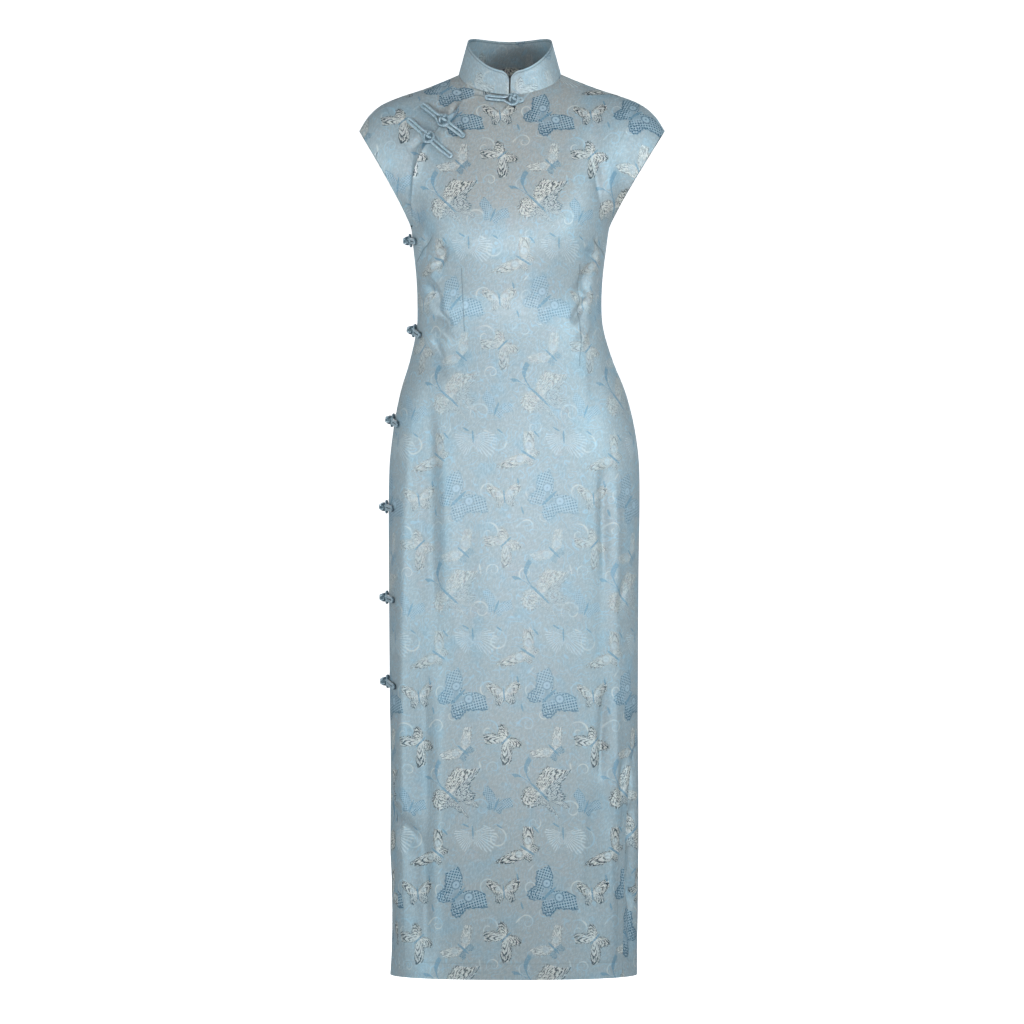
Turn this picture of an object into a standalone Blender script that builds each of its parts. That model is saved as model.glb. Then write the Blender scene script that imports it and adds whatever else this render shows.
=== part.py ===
"""Calf-length cheongsam in its hollow worn form: stand collar, cut-on cap sleeves, curved side opening, slits.

Every panel is a wall of cloth over one body surface, which is worked out from a table of level sections below
the armholes and from the neckline, the shoulder seam and a table of pulls above them. The front faces -Y, and
the origin is at the middle of the neck, level with the high points of the shoulders.
"""
import math
from collections import namedtuple

import bmesh
import bpy
from mathutils import Vector

# Cloth and seams
WALL = 0.0012
SEAM_GAP = 0.0008
UNDERLAP_GAP = 0.0010
UNDERLAP = 0.028
UNDERLAP_END = 0.985
WELD = 0.00005
CORD_WELD = 0.00001
COLLAR_WALL = 0.0020

# Levels, measured from the high points of the shoulders
ARMHOLE_Z = -0.212
HIP_Z = -0.560
SLIT_TOP_Z = -0.865
HEM_Z = -1.243

# Neck and collar: the base follows the neckline, the top leans forward and in
NECK_HALF_WIDTH = 0.0695
NECK_HALF_DEPTH = 0.060
NECK_Y = 0.004
NECK_SHARE = 0.34
COLLAR_TOP_HALF_WIDTH = 0.0570
COLLAR_TOP_HALF_DEPTH = 0.0520
COLLAR_TOP_Y = -0.002
COLLAR_LIFT = 0.0010
COLLAR_CORNER = 0.013
COLLAR_OPENING = 0.0026
NECK_SWAY = -0.003

# Heights round the neck: mean, back-to-front fall and saddle of the sides
Ring = namedtuple("Ring", "mean fall saddle")
NECKLINE = Ring(-0.0028, 0.0230, -0.0042)
COLLAR_TOP = Ring(0.0345, 0.0250, -0.0095)

# Level sections below the armholes; seams are angles from the middle of the front
Section = namedtuple("Section", "z half front back square sway seam_left seam_right")
SECTIONS = (
    Section(-0.190, 0.1415, 0.1185, 0.1000, 2.10, -0.0020, 88, 88),
    Section(ARMHOLE_Z, 0.1370, 0.1215, 0.0990, 2.10, -0.0025, 88, 88),
    Section(-0.240, 0.1335, 0.1215, 0.0960, 2.10, -0.0030, 88, 88),
    Section(-0.280, 0.1290, 0.1100, 0.0850, 2.10, -0.0034, 88, 88),
    Section(-0.318, 0.1274, 0.0970, 0.0760, 2.15, -0.0035, 88, 88),
    Section(-0.350, 0.1290, 0.0955, 0.0780, 2.20, -0.0028, 88, 88),
    Section(-0.394, 0.1400, 0.1010, 0.0920, 2.20, -0.0010, 88, 88),
    Section(-0.440, 0.1560, 0.1075, 0.1060, 2.25, 0.0014, 88, 88),
    Section(-0.494, 0.1675, 0.1120, 0.1140, 2.30, 0.0030, 88, 88),
    Section(-0.550, 0.1730, 0.1130, 0.1160, 2.30, 0.0032, 88, 88),
    Section(-0.700, 0.1725, 0.1080, 0.1120, 2.30, 0.0024, 88, 88),
    Section(SLIT_TOP_Z, 0.1715, 0.1020, 0.1070, 2.30, 0.0026, 87, 86),
    Section(-0.960, 0.1712, 0.1000, 0.1060, 2.30, 0.0026, 80, 75),
    Section(-1.080, 0.1710, 0.0985, 0.1050, 2.30, 0.0024, 75, 71),
    Section(HEM_Z, 0.1708, 0.0970, 0.1040, 2.30, 0.0023, 74, 70),
)

# Shoulder seam of one side, from the neck to the tip of the sleeve
SeamPoint = namedtuple("SeamPoint", "across x y z")
SHOULDER = (
    SeamPoint(NECK_SHARE, NECK_HALF_WIDTH, 0.0040, 0.0014),
    SeamPoint(0.44, 0.0930, 0.0045, -0.0085),
    SeamPoint(0.56, 0.1215, 0.0050, -0.0195),
    SeamPoint(0.70, 0.1545, 0.0050, -0.0303),
    SeamPoint(0.82, 0.1810, 0.0045, -0.0420),
    SeamPoint(0.92, 0.1990, 0.0040, -0.0580),
    SeamPoint(1.00, 0.2115, 0.0030, -0.0775),
)

# How the yoke leaves its top edge, by place across: away from the shoulder seam, and down
Pull = namedtuple("Pull", "across out down")
FRONT_PULLS = (
    Pull(0.00, 0.016, 0.048),
    Pull(0.17, 0.030, 0.034),
    Pull(NECK_SHARE, 0.044, 0.004),
    Pull(0.56, 0.056, 0.000),
    Pull(0.80, 0.058, 0.000),
    Pull(1.00, 0.056, 0.000),
)
BACK_PULLS = (
    Pull(0.00, 0.020, 0.040),
    Pull(0.17, 0.034, 0.026),
    Pull(NECK_SHARE, 0.046, 0.003),
    Pull(0.56, 0.058, 0.000),
    Pull(0.80, 0.060, 0.000),
    Pull(1.00, 0.058, 0.000),
)
YOKE_RISE = 0.36
SLEEVE_FLARE = 0.012
SLEEVE_SWELL = 0.058
SLEEVE_SPREAD = 4

# Bust cups, pressed out of the front by its darts
CUP_X = 0.078
CUP_Z = -0.218
CUP_RADIUS = 0.062
CUP_DEPTH = 0.010

# Largest soft folds, as lines down the cloth: a ridge is positive, a trough negative
Fold = namedtuple("Fold", "x_top z_top x_bottom z_bottom width depth")
FRONT_FOLDS = (
    Fold(-0.118, -0.440, -0.104, -0.900, 0.016, -0.0045),
    Fold(-0.146, -0.400, -0.148, -0.860, 0.014, 0.0030),
    Fold(-0.064, -0.600, -0.060, -0.860, 0.016, -0.0025),
    Fold(0.126, -0.520, 0.122, -0.960, 0.014, -0.0040),
    Fold(0.104, -0.090, 0.132, -0.215, 0.013, -0.0050),
)
BACK_FOLDS = (
    Fold(-0.110, -0.560, -0.118, -1.100, 0.018, -0.0040),
    Fold(0.000, -0.640, 0.006, -1.180, 0.022, 0.0035),
    Fold(0.108, -0.540, 0.100, -1.000, 0.018, -0.0045),
    Fold(-0.100, -0.090, -0.128, -0.205, 0.014, -0.0045),
    Fold(0.100, -0.090, 0.128, -0.205, 0.014, -0.0045),
)

# Curved opening of the front: how far down the yoke its edge lies, by place across
Edge = namedtuple("Edge", "across down")
OPENING = (
    Edge(-1.00, 1.000),
    Edge(-0.89, 1.000),
    Edge(-0.80, 0.830),
    Edge(-0.70, 0.675),
    Edge(-0.61, 0.566),
    Edge(-0.51, 0.478),
    Edge(-0.38, 0.385),
    Edge(-0.25, 0.245),
    Edge(-0.15, 0.092),
    Edge(-0.05, 0.070),
    Edge(0.00, 0.000),
)

# Mesh rows and columns
YOKE_ROWS = 8
FITTED_ROWS = 17
SKIRT_ROWS = 9
PANEL_COLUMNS = 22
ARMHOLE_COLUMNS = 9
OPENING_COLUMNS = 9
OPENING_START = -0.5
UNDER_ROWS = 9
ROW_CROWDING = 1.3
COLLAR_COLUMNS = 30
COLLAR_ROWS = 3
CORNER_COLUMNS = (0.0015, 0.006)

# Where the underlap goes down under the front: by place across from the neck, and by share of its depth
SINK_ACROSS = (-0.12, -0.06)
SINK_SHARE = (0.35, 0.80)
LEAST_DOWN = 0.01

# Steps for reading the surface's direction, and halvings when a place on it is looked up
NORMAL_STEP = 0.004
SLOPE_STEP = 0.002
HALVINGS = 24

# Frog buttons of doubled cord
CORD_RADIUS = 0.0019
STRAND = CORD_RADIUS + 0.0003
CORD_REST = CORD_RADIUS + 0.0008
LEG_LENGTH = 0.038
BALL_RADIUS = 0.0054
BALL_LIFT = 0.0122
NECK_RADIUS = 0.0018
EYE_RADIUS = 0.0066
EYE_LIFT = 0.0080
EYE_TURN = 120
EYE_STEPS = 6
EYE_MERGE = 0.005
CORD_SPACING = 0.012
CORD_START = 0.001
BALL_SEGMENTS = 8
BALL_RINGS = 6

ChestFrog = namedtuple("ChestFrog", "name x z slope front_leg under_leg")
CHEST_FROGS = (
    ChestFrog("neck", 0.0010, -0.0400, -4.0, 0.014, 0.036),
    ChestFrog("collarbone", -0.0932, -0.0697, -38.0, 0.036, 0.038),
    ChestFrog("chest", -0.1137, -0.0919, -42.0, 0.042, 0.038),
)
SideFrog = namedtuple("SideFrog", "name z fall")
SIDE_FROGS = (
    SideFrog("underarm", -0.229, 0.10),
    SideFrog("waist", -0.354, 0.22),
    SideFrog("upper_hip", -0.478, 0.18),
    SideFrog("hip", -0.597, 0.08),
    SideFrog("thigh", -0.722, 0.10),
    SideFrog("slit", -0.838, 0.18),
)

# Colour, roughness and metallic of each material
Finish = namedtuple("Finish", "colour roughness metallic")
FINISHES = {
    "jacquard": Finish((0.36, 0.46, 0.53, 1.0), 0.45, 0.0),
    "collar": Finish((0.38, 0.49, 0.57, 1.0), 0.45, 0.0),
    "cord": Finish((0.28, 0.38, 0.42, 1.0), 0.40, 0.0),
}

dress = bpy.data.collections.new("cheongsam")


def start_clean():
    """Empty the scene and give it the dress's collection."""
    for thing in list(bpy.data.objects):
        bpy.data.objects.remove(thing, do_unlink=True)
    bpy.context.scene.collection.children.link(dress)


def smooth_value(rows, key, column, at):
    """Read a column of a table at a place between its rows, along a smooth curve through them."""
    places = [getattr(row, key) for row in rows]
    values = [getattr(row, column) for row in rows]
    if places[0] > places[-1]:
        places.reverse()
        values.reverse()
    at = min(max(at, places[0]), places[-1])
    last = len(places) - 2
    span = next((i for i in range(last + 1) if at <= places[i + 1]), last)

    def slope(i):
        low = max(i - 1, 0)
        high = min(i + 1, len(places) - 1)
        return (values[high] - values[low]) / (places[high] - places[low])

    step = places[span + 1] - places[span]
    t = (at - places[span]) / step
    start, end = values[span], values[span + 1]
    leave, arrive = slope(span) * step, slope(span + 1) * step
    return (
        start * (2 * t**3 - 3 * t**2 + 1)
        + leave * (t**3 - 2 * t**2 + t)
        + end * (3 * t**2 - 2 * t**3)
        + arrive * (t**3 - t**2)
    )


def body_point(angle, z):
    """Point of the body surface at a level, at an angle in degrees from the middle of the front toward +X."""
    half = smooth_value(SECTIONS, "z", "half", z)
    square = smooth_value(SECTIONS, "z", "square", z)
    sway = smooth_value(SECTIONS, "z", "sway", z)
    side = abs(math.sin(math.radians(angle)))
    ahead = math.cos(math.radians(angle))
    depth = smooth_value(SECTIONS, "z", "front" if ahead > 0 else "back", z)
    reach = ((side / half) ** square + (abs(ahead) / depth) ** square) ** (-1 / square)
    return Vector((sway + math.copysign(side * reach, angle), -ahead * reach, z))


def seam_angle(across, z):
    """Angle of the side seam of the side that a panel coordinate is on."""
    column = "seam_left" if across < 0 else "seam_right"
    return smooth_value(SECTIONS, "z", column, z)


def fold_depth(folds, x, z):
    """How far the folds stand out of the cloth at a place seen from the front."""
    total = 0.0
    for fold in folds:
        along_x = fold.x_bottom - fold.x_top
        along_z = fold.z_bottom - fold.z_top
        length = math.hypot(along_x, along_z)
        along = ((x - fold.x_top) * along_x + (z - fold.z_top) * along_z) / length**2
        aside = ((x - fold.x_top) * along_z - (z - fold.z_top) * along_x) / length
        if 0 < along < 1:
            total += fold.depth * math.sin(math.pi * along) * math.exp(-((aside / fold.width) ** 2))
    return total


def ring_height(ring, turn):
    """Height of a ring round the neck; turn is in degrees from the middle of the back."""
    return (
        ring.mean
        + ring.fall * math.cos(math.radians(turn))
        + ring.saddle * math.cos(math.radians(2 * turn))
    )


def neckline_point(turn):
    """Point of the neckline, turn degrees from the middle of the back."""
    return Vector((
        NECK_SWAY + NECK_HALF_WIDTH * math.sin(math.radians(turn)),
        NECK_Y + NECK_HALF_DEPTH * math.cos(math.radians(turn)),
        ring_height(NECKLINE, turn),
    ))


def top_edge(across, facing):
    """Top edge of a panel: neckline, then shoulder seam. Facing is -1 for the front and 1 for the back."""
    out = abs(across)
    side = math.copysign(1.0, across)
    if out <= NECK_SHARE:
        turn = 90 * out / NECK_SHARE
        return neckline_point(side * (180 - turn if facing < 0 else turn))
    return Vector((
        NECK_SWAY * (1 - out) + side * smooth_value(SHOULDER, "across", "x", out),
        smooth_value(SHOULDER, "across", "y", out) + facing * SEAM_GAP / 2,
        smooth_value(SHOULDER, "across", "z", out),
    ))


def level_point(across, z, facing):
    """Point of a panel below the armholes."""
    seam = seam_angle(across, z)
    trim = math.degrees(SEAM_GAP / 2 / smooth_value(SECTIONS, "z", "half", z))
    if facing < 0:
        return body_point(across * (seam - trim), z)
    side = math.copysign(1.0, across)
    return body_point(side * (180 - abs(across) * (180 - seam - trim)), z)


def yoke_point(across, down, facing):
    """Point of a panel above the armhole level, on a curve from its top edge to that level."""
    pulls = FRONT_PULLS if facing < 0 else BACK_PULLS
    out = abs(across)
    side = math.copysign(1.0, across)
    top = top_edge(across, facing)
    low = level_point(across, ARMHOLE_Z, facing)
    leave = top + Vector((
        0.0,
        facing * smooth_value(pulls, "across", "out", out),
        -smooth_value(pulls, "across", "down", out),
    ))
    rise = low - level_point(across, ARMHOLE_Z - SLOPE_STEP, facing)
    rise *= YOKE_RISE * (top.z - low.z) / rise.z
    flare = out**SLEEVE_SPREAD
    arrive = low + rise + Vector((side * SLEEVE_FLARE * flare, facing * SLEEVE_SWELL * flare, 0.0))
    up = 1 - down
    return up**3 * top + 3 * up**2 * down * leave + 3 * up * down**2 * arrive + down**3 * low


def panel_point(across, down, facing):
    """Point of the front or back: down runs from 0 at the top to 1 at the armhole level and 2 at the hem."""
    if down <= 1:
        point = yoke_point(across, down, facing)
    else:
        point = level_point(across, ARMHOLE_Z + (down - 1) * (HEM_Z - ARMHOLE_Z), facing)
    folds = FRONT_FOLDS if facing < 0 else BACK_FOLDS
    relief = fold_depth(folds, point.x, point.z)
    if facing < 0:
        for cup_x in (-CUP_X, CUP_X):
            distance = math.hypot(point.x - cup_x, point.z - CUP_Z) / CUP_RADIUS
            relief += CUP_DEPTH * math.exp(-(distance**2))
    point.y += facing * relief
    return point


def panel_normal(across, down, facing):
    """Outward direction of the cloth at a place on a panel."""
    low = max(across - NORMAL_STEP, -1.0)
    high = min(across + NORMAL_STEP, 1.0)
    over = max(down - NORMAL_STEP, 0.0)
    under = min(down + NORMAL_STEP, 2.0)
    along = panel_point(high, down, facing) - panel_point(low, down, facing)
    fall = panel_point(across, under, facing) - panel_point(across, over, facing)
    return (fall.cross(along) * -facing).normalized()


def finish(thing, material):
    """Give an object its own material from the table of finishes."""
    look = FINISHES[material]
    made = bpy.data.materials.new(f"{thing.name}_{material}")
    made.use_nodes = True
    shader = made.node_tree.nodes["Principled BSDF"]
    shader.inputs["Base Color"].default_value = look.colour
    shader.inputs["Roughness"].default_value = look.roughness
    shader.inputs["Metallic"].default_value = look.metallic
    thing.data.materials.clear()
    thing.data.materials.append(made)


def cloth(name, rows, thickness, material):
    """Wall of cloth from rows of points on its outer face, seen left to right and top to bottom."""
    shape = bmesh.new()
    grid = [[shape.verts.new(point) for point in row] for row in rows]
    for upper, lower in zip(grid, grid[1:]):
        for i in range(len(upper) - 1):
            shape.faces.new((upper[i], lower[i], lower[i + 1], upper[i + 1]))
    bmesh.ops.remove_doubles(shape, verts=shape.verts, dist=WELD)
    mesh = bpy.data.meshes.new(name)
    shape.to_mesh(mesh)
    shape.free()
    mesh.shade_smooth()
    panel = bpy.data.objects.new(name, mesh)
    dress.objects.link(panel)
    wall = panel.modifiers.new("wall", "SOLIDIFY")
    wall.thickness = thickness
    wall.offset = -1
    finish(panel, material)
    return panel


def columns(start, end, count):
    """Evenly spaced places from start to end."""
    return [start + (end - start) * i / count for i in range(count + 1)]


def body_downs():
    """Panel rows below the armhole level, closer together above the hip."""
    hip = 1 + (HIP_Z - ARMHOLE_Z) / (HEM_Z - ARMHOLE_Z)
    return columns(1.0, hip, FITTED_ROWS)[1:] + columns(hip, 2.0, SKIRT_ROWS)[1:]


def opening_down(across):
    """How far down the yoke the front's edge lies; its right side starts at the neckline."""
    if across >= 0:
        return 0.0
    return min(smooth_value(OPENING, "across", "down", across), 1.0)


def left_columns():
    """Columns of the left half of the front, closer together where the opening crosses them."""
    return columns(-1.0, OPENING_START, ARMHOLE_COLUMNS) + columns(OPENING_START, 0.0, OPENING_COLUMNS)[1:]


def make_front():
    """Front with its right cap sleeve, cut away along the curved opening on the left."""
    places = left_columns() + columns(0.0, 1.0, PANEL_COLUMNS // 2)[1:]
    rows = []
    for i in range(YOKE_ROWS + 1):
        share = (i / YOKE_ROWS) ** ROW_CROWDING
        rows.append([panel_point(a, opening_down(a) + (1 - opening_down(a)) * share, -1) for a in places])
    rows += [[panel_point(a, down, -1) for a in places] for down in body_downs()]
    return cloth("front", rows, WALL, "jacquard")


def ramp(value, limits):
    """Share of the way between two limits, held within them."""
    start, end = limits
    return min(max((value - start) / (end - start), 0.0), 1.0)


def under_depth(across, down):
    """How far the underlap lies beneath the front's face; it rises to the seams of neck and shoulder."""
    share = down / max(opening_down(across), LEAST_DOWN)
    return (WALL + UNDERLAP_GAP) * max(ramp(across, SINK_ACROSS), ramp(share, SINK_SHARE))


def make_front_under():
    """Left shoulder, cap sleeve and underlap, one wall and a gap beneath the front."""
    places = left_columns()
    rows = []
    for i in range(UNDER_ROWS + 1):
        share = (i / UNDER_ROWS) ** ROW_CROWDING
        row = []
        for a in places:
            length = (panel_point(a, 0.0, -1) - panel_point(a, 1.0, -1)).length
            down = share * min(opening_down(a) + UNDERLAP / length, UNDERLAP_END)
            point = panel_point(a, down, -1)
            row.append(point - panel_normal(a, down, -1) * under_depth(a, down))
        rows.append(row)
    return cloth("front_under", rows, WALL, "jacquard")


def make_back():
    """Back with both cap sleeves, in one piece."""
    places = columns(1.0, -1.0, PANEL_COLUMNS)
    downs = [(i / YOKE_ROWS) ** ROW_CROWDING for i in range(YOKE_ROWS + 1)] + body_downs()
    rows = [[panel_point(a, down, 1) for a in places] for down in downs]
    return cloth("back", rows, WALL, "jacquard")


def collar_point(turn, up, length_left):
    """Point of the collar's outer face; its front corners are rounded off."""
    base = neckline_point(turn) + Vector((0.0, 0.0, COLLAR_LIFT))
    top = Vector((
        NECK_SWAY + COLLAR_TOP_HALF_WIDTH * math.sin(math.radians(turn)),
        COLLAR_TOP_Y + COLLAR_TOP_HALF_DEPTH * math.cos(math.radians(turn)),
        ring_height(COLLAR_TOP, turn),
    ))
    height = (top - base).length
    short = max(COLLAR_CORNER - length_left, 0.0)
    drop = COLLAR_CORNER - math.sqrt(COLLAR_CORNER**2 - short**2)
    return base.lerp(top, up * (1 - drop / height))


def make_collar():
    """Stand collar, one band from the middle of the front round the neck and back."""
    gap = math.degrees(COLLAR_OPENING / 2 / NECK_HALF_WIDTH)
    turns = columns(-180 + gap, 180 - gap, COLLAR_COLUMNS)
    for corner in CORNER_COLUMNS:
        swing = math.degrees(corner / NECK_HALF_WIDTH)
        turns += [-180 + gap + swing, 180 - gap - swing]
    turns.sort()
    rows = []
    for i in range(COLLAR_ROWS + 1):
        up = 1 - i / COLLAR_ROWS
        row = []
        for turn in turns:
            length_left = math.radians(180 - gap - abs(turn)) * NECK_HALF_WIDTH
            row.append(collar_point(turn, up, length_left))
        rows.append(row)
    return cloth("collar", rows, COLLAR_WALL, "collar")


def locate(x, z):
    """Panel coordinates of the front at a place seen from the front, above the armhole level."""
    left, right = (-1.0, 0.0) if x < NECK_SWAY else (0.0, 1.0)

    def down_at(across):
        high, low = 0.0, 1.0
        for _ in range(HALVINGS):
            middle = (high + low) / 2
            if panel_point(across, middle, -1).z > z:
                high = middle
            else:
                low = middle
        return (high + low) / 2

    for _ in range(HALVINGS):
        across = (left + right) / 2
        if panel_point(across, down_at(across), -1).x > x:
            right = across
        else:
            left = across
    return across, down_at(across)


def cord(name, path):
    """Mesh of a round cord along a path."""
    curve = bpy.data.curves.new(name, "CURVE")
    curve.dimensions = "3D"
    curve.bevel_depth = CORD_RADIUS
    curve.bevel_resolution = 2
    curve.use_fill_caps = True
    spline = curve.splines.new("POLY")
    spline.points.add(len(path) - 1)
    for point, place in zip(spline.points, path):
        point.co = (*place, 1.0)
    guide = bpy.data.objects.new(name, curve)
    dress.objects.link(guide)
    graph = bpy.context.evaluated_depsgraph_get()
    mesh = bpy.data.meshes.new_from_object(guide.evaluated_get(graph))
    bpy.data.objects.remove(guide, do_unlink=True)
    shape = bmesh.new()
    shape.from_mesh(mesh)
    bmesh.ops.remove_doubles(shape, verts=shape.verts, dist=CORD_WELD)
    bmesh.ops.recalc_face_normals(shape, faces=shape.faces)
    shape.to_mesh(mesh)
    shape.free()
    mesh.shade_smooth()
    return mesh


def strand_path(leg, side):
    """Flat path of one strand of a button's doubled cord, out from under the ball."""
    return [(along, side * STRAND) for along in columns(CORD_START, leg, max(int(leg / CORD_SPACING), 1))]


def loop_path(leg):
    """Flat path of a loop: in along one strand, round the button's neck and out along the other."""
    runs = max(int(leg / CORD_SPACING), 1)
    strand = [(a, -STRAND) for a in columns(-leg, -EYE_RADIUS - EYE_MERGE, runs)]
    eye = [
        (EYE_RADIUS * math.cos(math.radians(turn)), EYE_RADIUS * math.sin(math.radians(turn)))
        for turn in columns(-EYE_TURN, EYE_TURN, EYE_STEPS)
    ]
    back = [(a, -b) for a, b in reversed(strand)]
    return strand + eye + back


def eye_lift(along):
    """The eye climbs over the button's cord in front of the ball."""
    share = min(max(along / EYE_RADIUS, -1.0), 1.0)
    return CORD_REST + (EYE_LIFT - CORD_REST) * (0.5 + 0.5 * share) ** 2


def make_frog(name, place):
    """Knotted button and its loop, laid on the cloth by place(along, aside, lift)."""
    leg, loop_leg = place.legs
    strands = [
        cord(f"knot_{name}", [place(along, aside, CORD_REST) for along, aside in strand_path(leg, side)])
        for side in (-1, 1)
    ]
    knot = bpy.data.objects.new(f"knot_{name}", strands[0])
    dress.objects.link(knot)
    foot = place(0.0, 0.0, CORD_REST - CORD_RADIUS)
    centre = place(0.0, 0.0, BALL_LIFT)
    add_button(knot, foot, centre)
    join(knot, strands[1])
    finish(knot, "cord")
    loop = bpy.data.objects.new(f"loop_{name}", cord(f"loop_{name}", [
        place(along, aside, eye_lift(along)) for along, aside in loop_path(loop_leg)
    ]))
    dress.objects.link(loop)
    finish(loop, "cord")


def add_button(knot, foot, centre):
    """Join the ball and its neck to the button's cord."""
    shape = bmesh.new()
    bmesh.ops.create_uvsphere(shape, u_segments=BALL_SEGMENTS, v_segments=BALL_RINGS, radius=BALL_RADIUS)
    bmesh.ops.translate(shape, verts=shape.verts, vec=centre)
    ball = bpy.data.meshes.new(f"{knot.name}_ball")
    shape.to_mesh(ball)
    shape.free()
    join(knot, ball)
    rise = centre - foot
    shape = bmesh.new()
    bmesh.ops.create_cone(
        shape, cap_ends=True, segments=BALL_SEGMENTS,
        radius1=NECK_RADIUS + STRAND, radius2=NECK_RADIUS, depth=rise.length,
    )
    bmesh.ops.rotate(shape, verts=shape.verts, matrix=rise.to_track_quat("Z", "Y").to_matrix())
    bmesh.ops.translate(shape, verts=shape.verts, vec=(foot + centre) / 2)
    neck = bpy.data.meshes.new(f"{knot.name}_neck")
    shape.to_mesh(neck)
    shape.free()
    join(knot, neck)


def join(body, mesh):
    """Boolean union of a mesh into an object."""
    tool = bpy.data.objects.new(mesh.name, mesh)
    dress.objects.link(tool)
    union = body.modifiers.new("union", "BOOLEAN")
    union.operation = "UNION"
    union.solver = "EXACT"
    union.object = tool
    graph = bpy.context.evaluated_depsgraph_get()
    joined = bpy.data.meshes.new_from_object(body.evaluated_get(graph))
    body.modifiers.remove(union)
    body.data = joined
    bpy.data.objects.remove(tool, do_unlink=True)


class ChestPlace:
    """Lays a frog on the front's yoke, along a slope seen from the front."""

    def __init__(self, frog):
        self.frog = frog
        self.legs = (frog.front_leg, frog.under_leg)

    def __call__(self, along, aside, lift):
        slope = math.radians(self.frog.slope)
        x = self.frog.x + along * math.cos(slope) - aside * math.sin(slope)
        z = self.frog.z + along * math.sin(slope) + aside * math.cos(slope)
        across, down = locate(x, z)
        return panel_point(across, down, -1) + panel_normal(across, down, -1) * lift


class SidePlace:
    """Lays a frog across the left side opening, toward the front and gently down."""

    def __init__(self, frog):
        self.frog = frog
        self.legs = (LEG_LENGTH, LEG_LENGTH)

    def __call__(self, along, aside, lift):
        z = self.frog.z + aside - self.frog.fall * along
        down = 1 + (z - ARMHOLE_Z) / (HEM_Z - ARMHOLE_Z)
        seam = seam_angle(-1.0, z)
        turn = math.degrees(along / smooth_value(SECTIONS, "z", "half", z))
        facing = -1 if turn >= 0 else 1
        reach = seam if turn >= 0 else 180 - seam
        across = abs(turn) / reach - 1
        return panel_point(across, down, facing) + panel_normal(across, down, facing) * lift


start_clean()
make_front()
make_front_under()
make_back()
make_collar()
for frog in CHEST_FROGS:
    make_frog(frog.name, ChestPlace(frog))
for frog in SIDE_FROGS:
    make_frog(frog.name, SidePlace(frog))
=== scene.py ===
"""Looks of the cheongsam: silk jacquard cloth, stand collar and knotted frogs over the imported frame.

The cloth repeats the surfaces of the construction, at a finer mesh and with its creases, darts and hems. Lengths
are in metres in the frame's own axes: the front faces -Y and the origin is at the middle of the neck.
"""
import math
from collections import namedtuple
from functools import partialmethod

import bmesh
import bpy
import numpy as np
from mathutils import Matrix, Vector


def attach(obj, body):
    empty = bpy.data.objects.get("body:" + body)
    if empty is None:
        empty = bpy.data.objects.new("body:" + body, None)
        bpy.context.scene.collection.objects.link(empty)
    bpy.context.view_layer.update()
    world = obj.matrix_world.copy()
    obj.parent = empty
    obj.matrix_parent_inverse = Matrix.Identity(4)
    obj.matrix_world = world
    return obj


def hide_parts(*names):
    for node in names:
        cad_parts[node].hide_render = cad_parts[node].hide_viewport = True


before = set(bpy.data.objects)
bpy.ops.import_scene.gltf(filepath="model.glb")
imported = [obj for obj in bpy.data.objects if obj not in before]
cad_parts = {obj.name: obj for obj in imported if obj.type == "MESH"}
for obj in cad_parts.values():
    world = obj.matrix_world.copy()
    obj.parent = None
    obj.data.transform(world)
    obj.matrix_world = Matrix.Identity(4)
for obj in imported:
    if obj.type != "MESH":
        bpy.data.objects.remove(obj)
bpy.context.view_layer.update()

# Camera: level, far off, in line with the middle of the picture
CAMERA_DISTANCE = 7.0
CAMERA_Z = -0.6044
VIEW_WIDTH = 1.4162
SENSOR = 36.0

# Cloth
WALL = 0.0007
SLIT_GAP = 0.0003
SEAM_LAP = 0.0002
SEAM_CALM = (0.0, 0.26)
UNDERLAP_GAP = 0.0015
UNDERLAP = 0.028
UNDERLAP_END = 0.985
COLLAR_WALL = 0.0017

# Levels, measured from the high points of the shoulders
ARMHOLE_Z = -0.212
HIP_Z = -0.56
SLIT_TOP_Z = -0.865
SLIT_REACH = 0.01
HEM_Z = -1.243

# Neck and collar
NECK_HALF_WIDTH = 0.0695
NECK_SHARE = 0.34
COLLAR_LIFT = -0.0016
COLLAR_CORNER = 0.013
COLLAR_OPENING = 0.0026
NECK_SWAY = -0.003


def table(columns, *rows):
    """Rows with named columns."""
    kind = namedtuple("Row", columns)
    return [kind(*row) for row in rows]


def millimetres(columns, *rows):
    """Rows with named columns, in metres, from rows in millimetres."""
    return table(columns, *(tuple(value / 1000 for value in row) for row in rows))


Ring = namedtuple("Ring", "half_width half_depth y mean fall saddle")
NECKLINE = Ring(NECK_HALF_WIDTH, 0.06, 0.004, -0.0028, 0.023, -0.0042)
COLLAR_TOP = Ring(0.057, 0.052, -0.002, 0.0345, 0.025, -0.0095)

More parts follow.
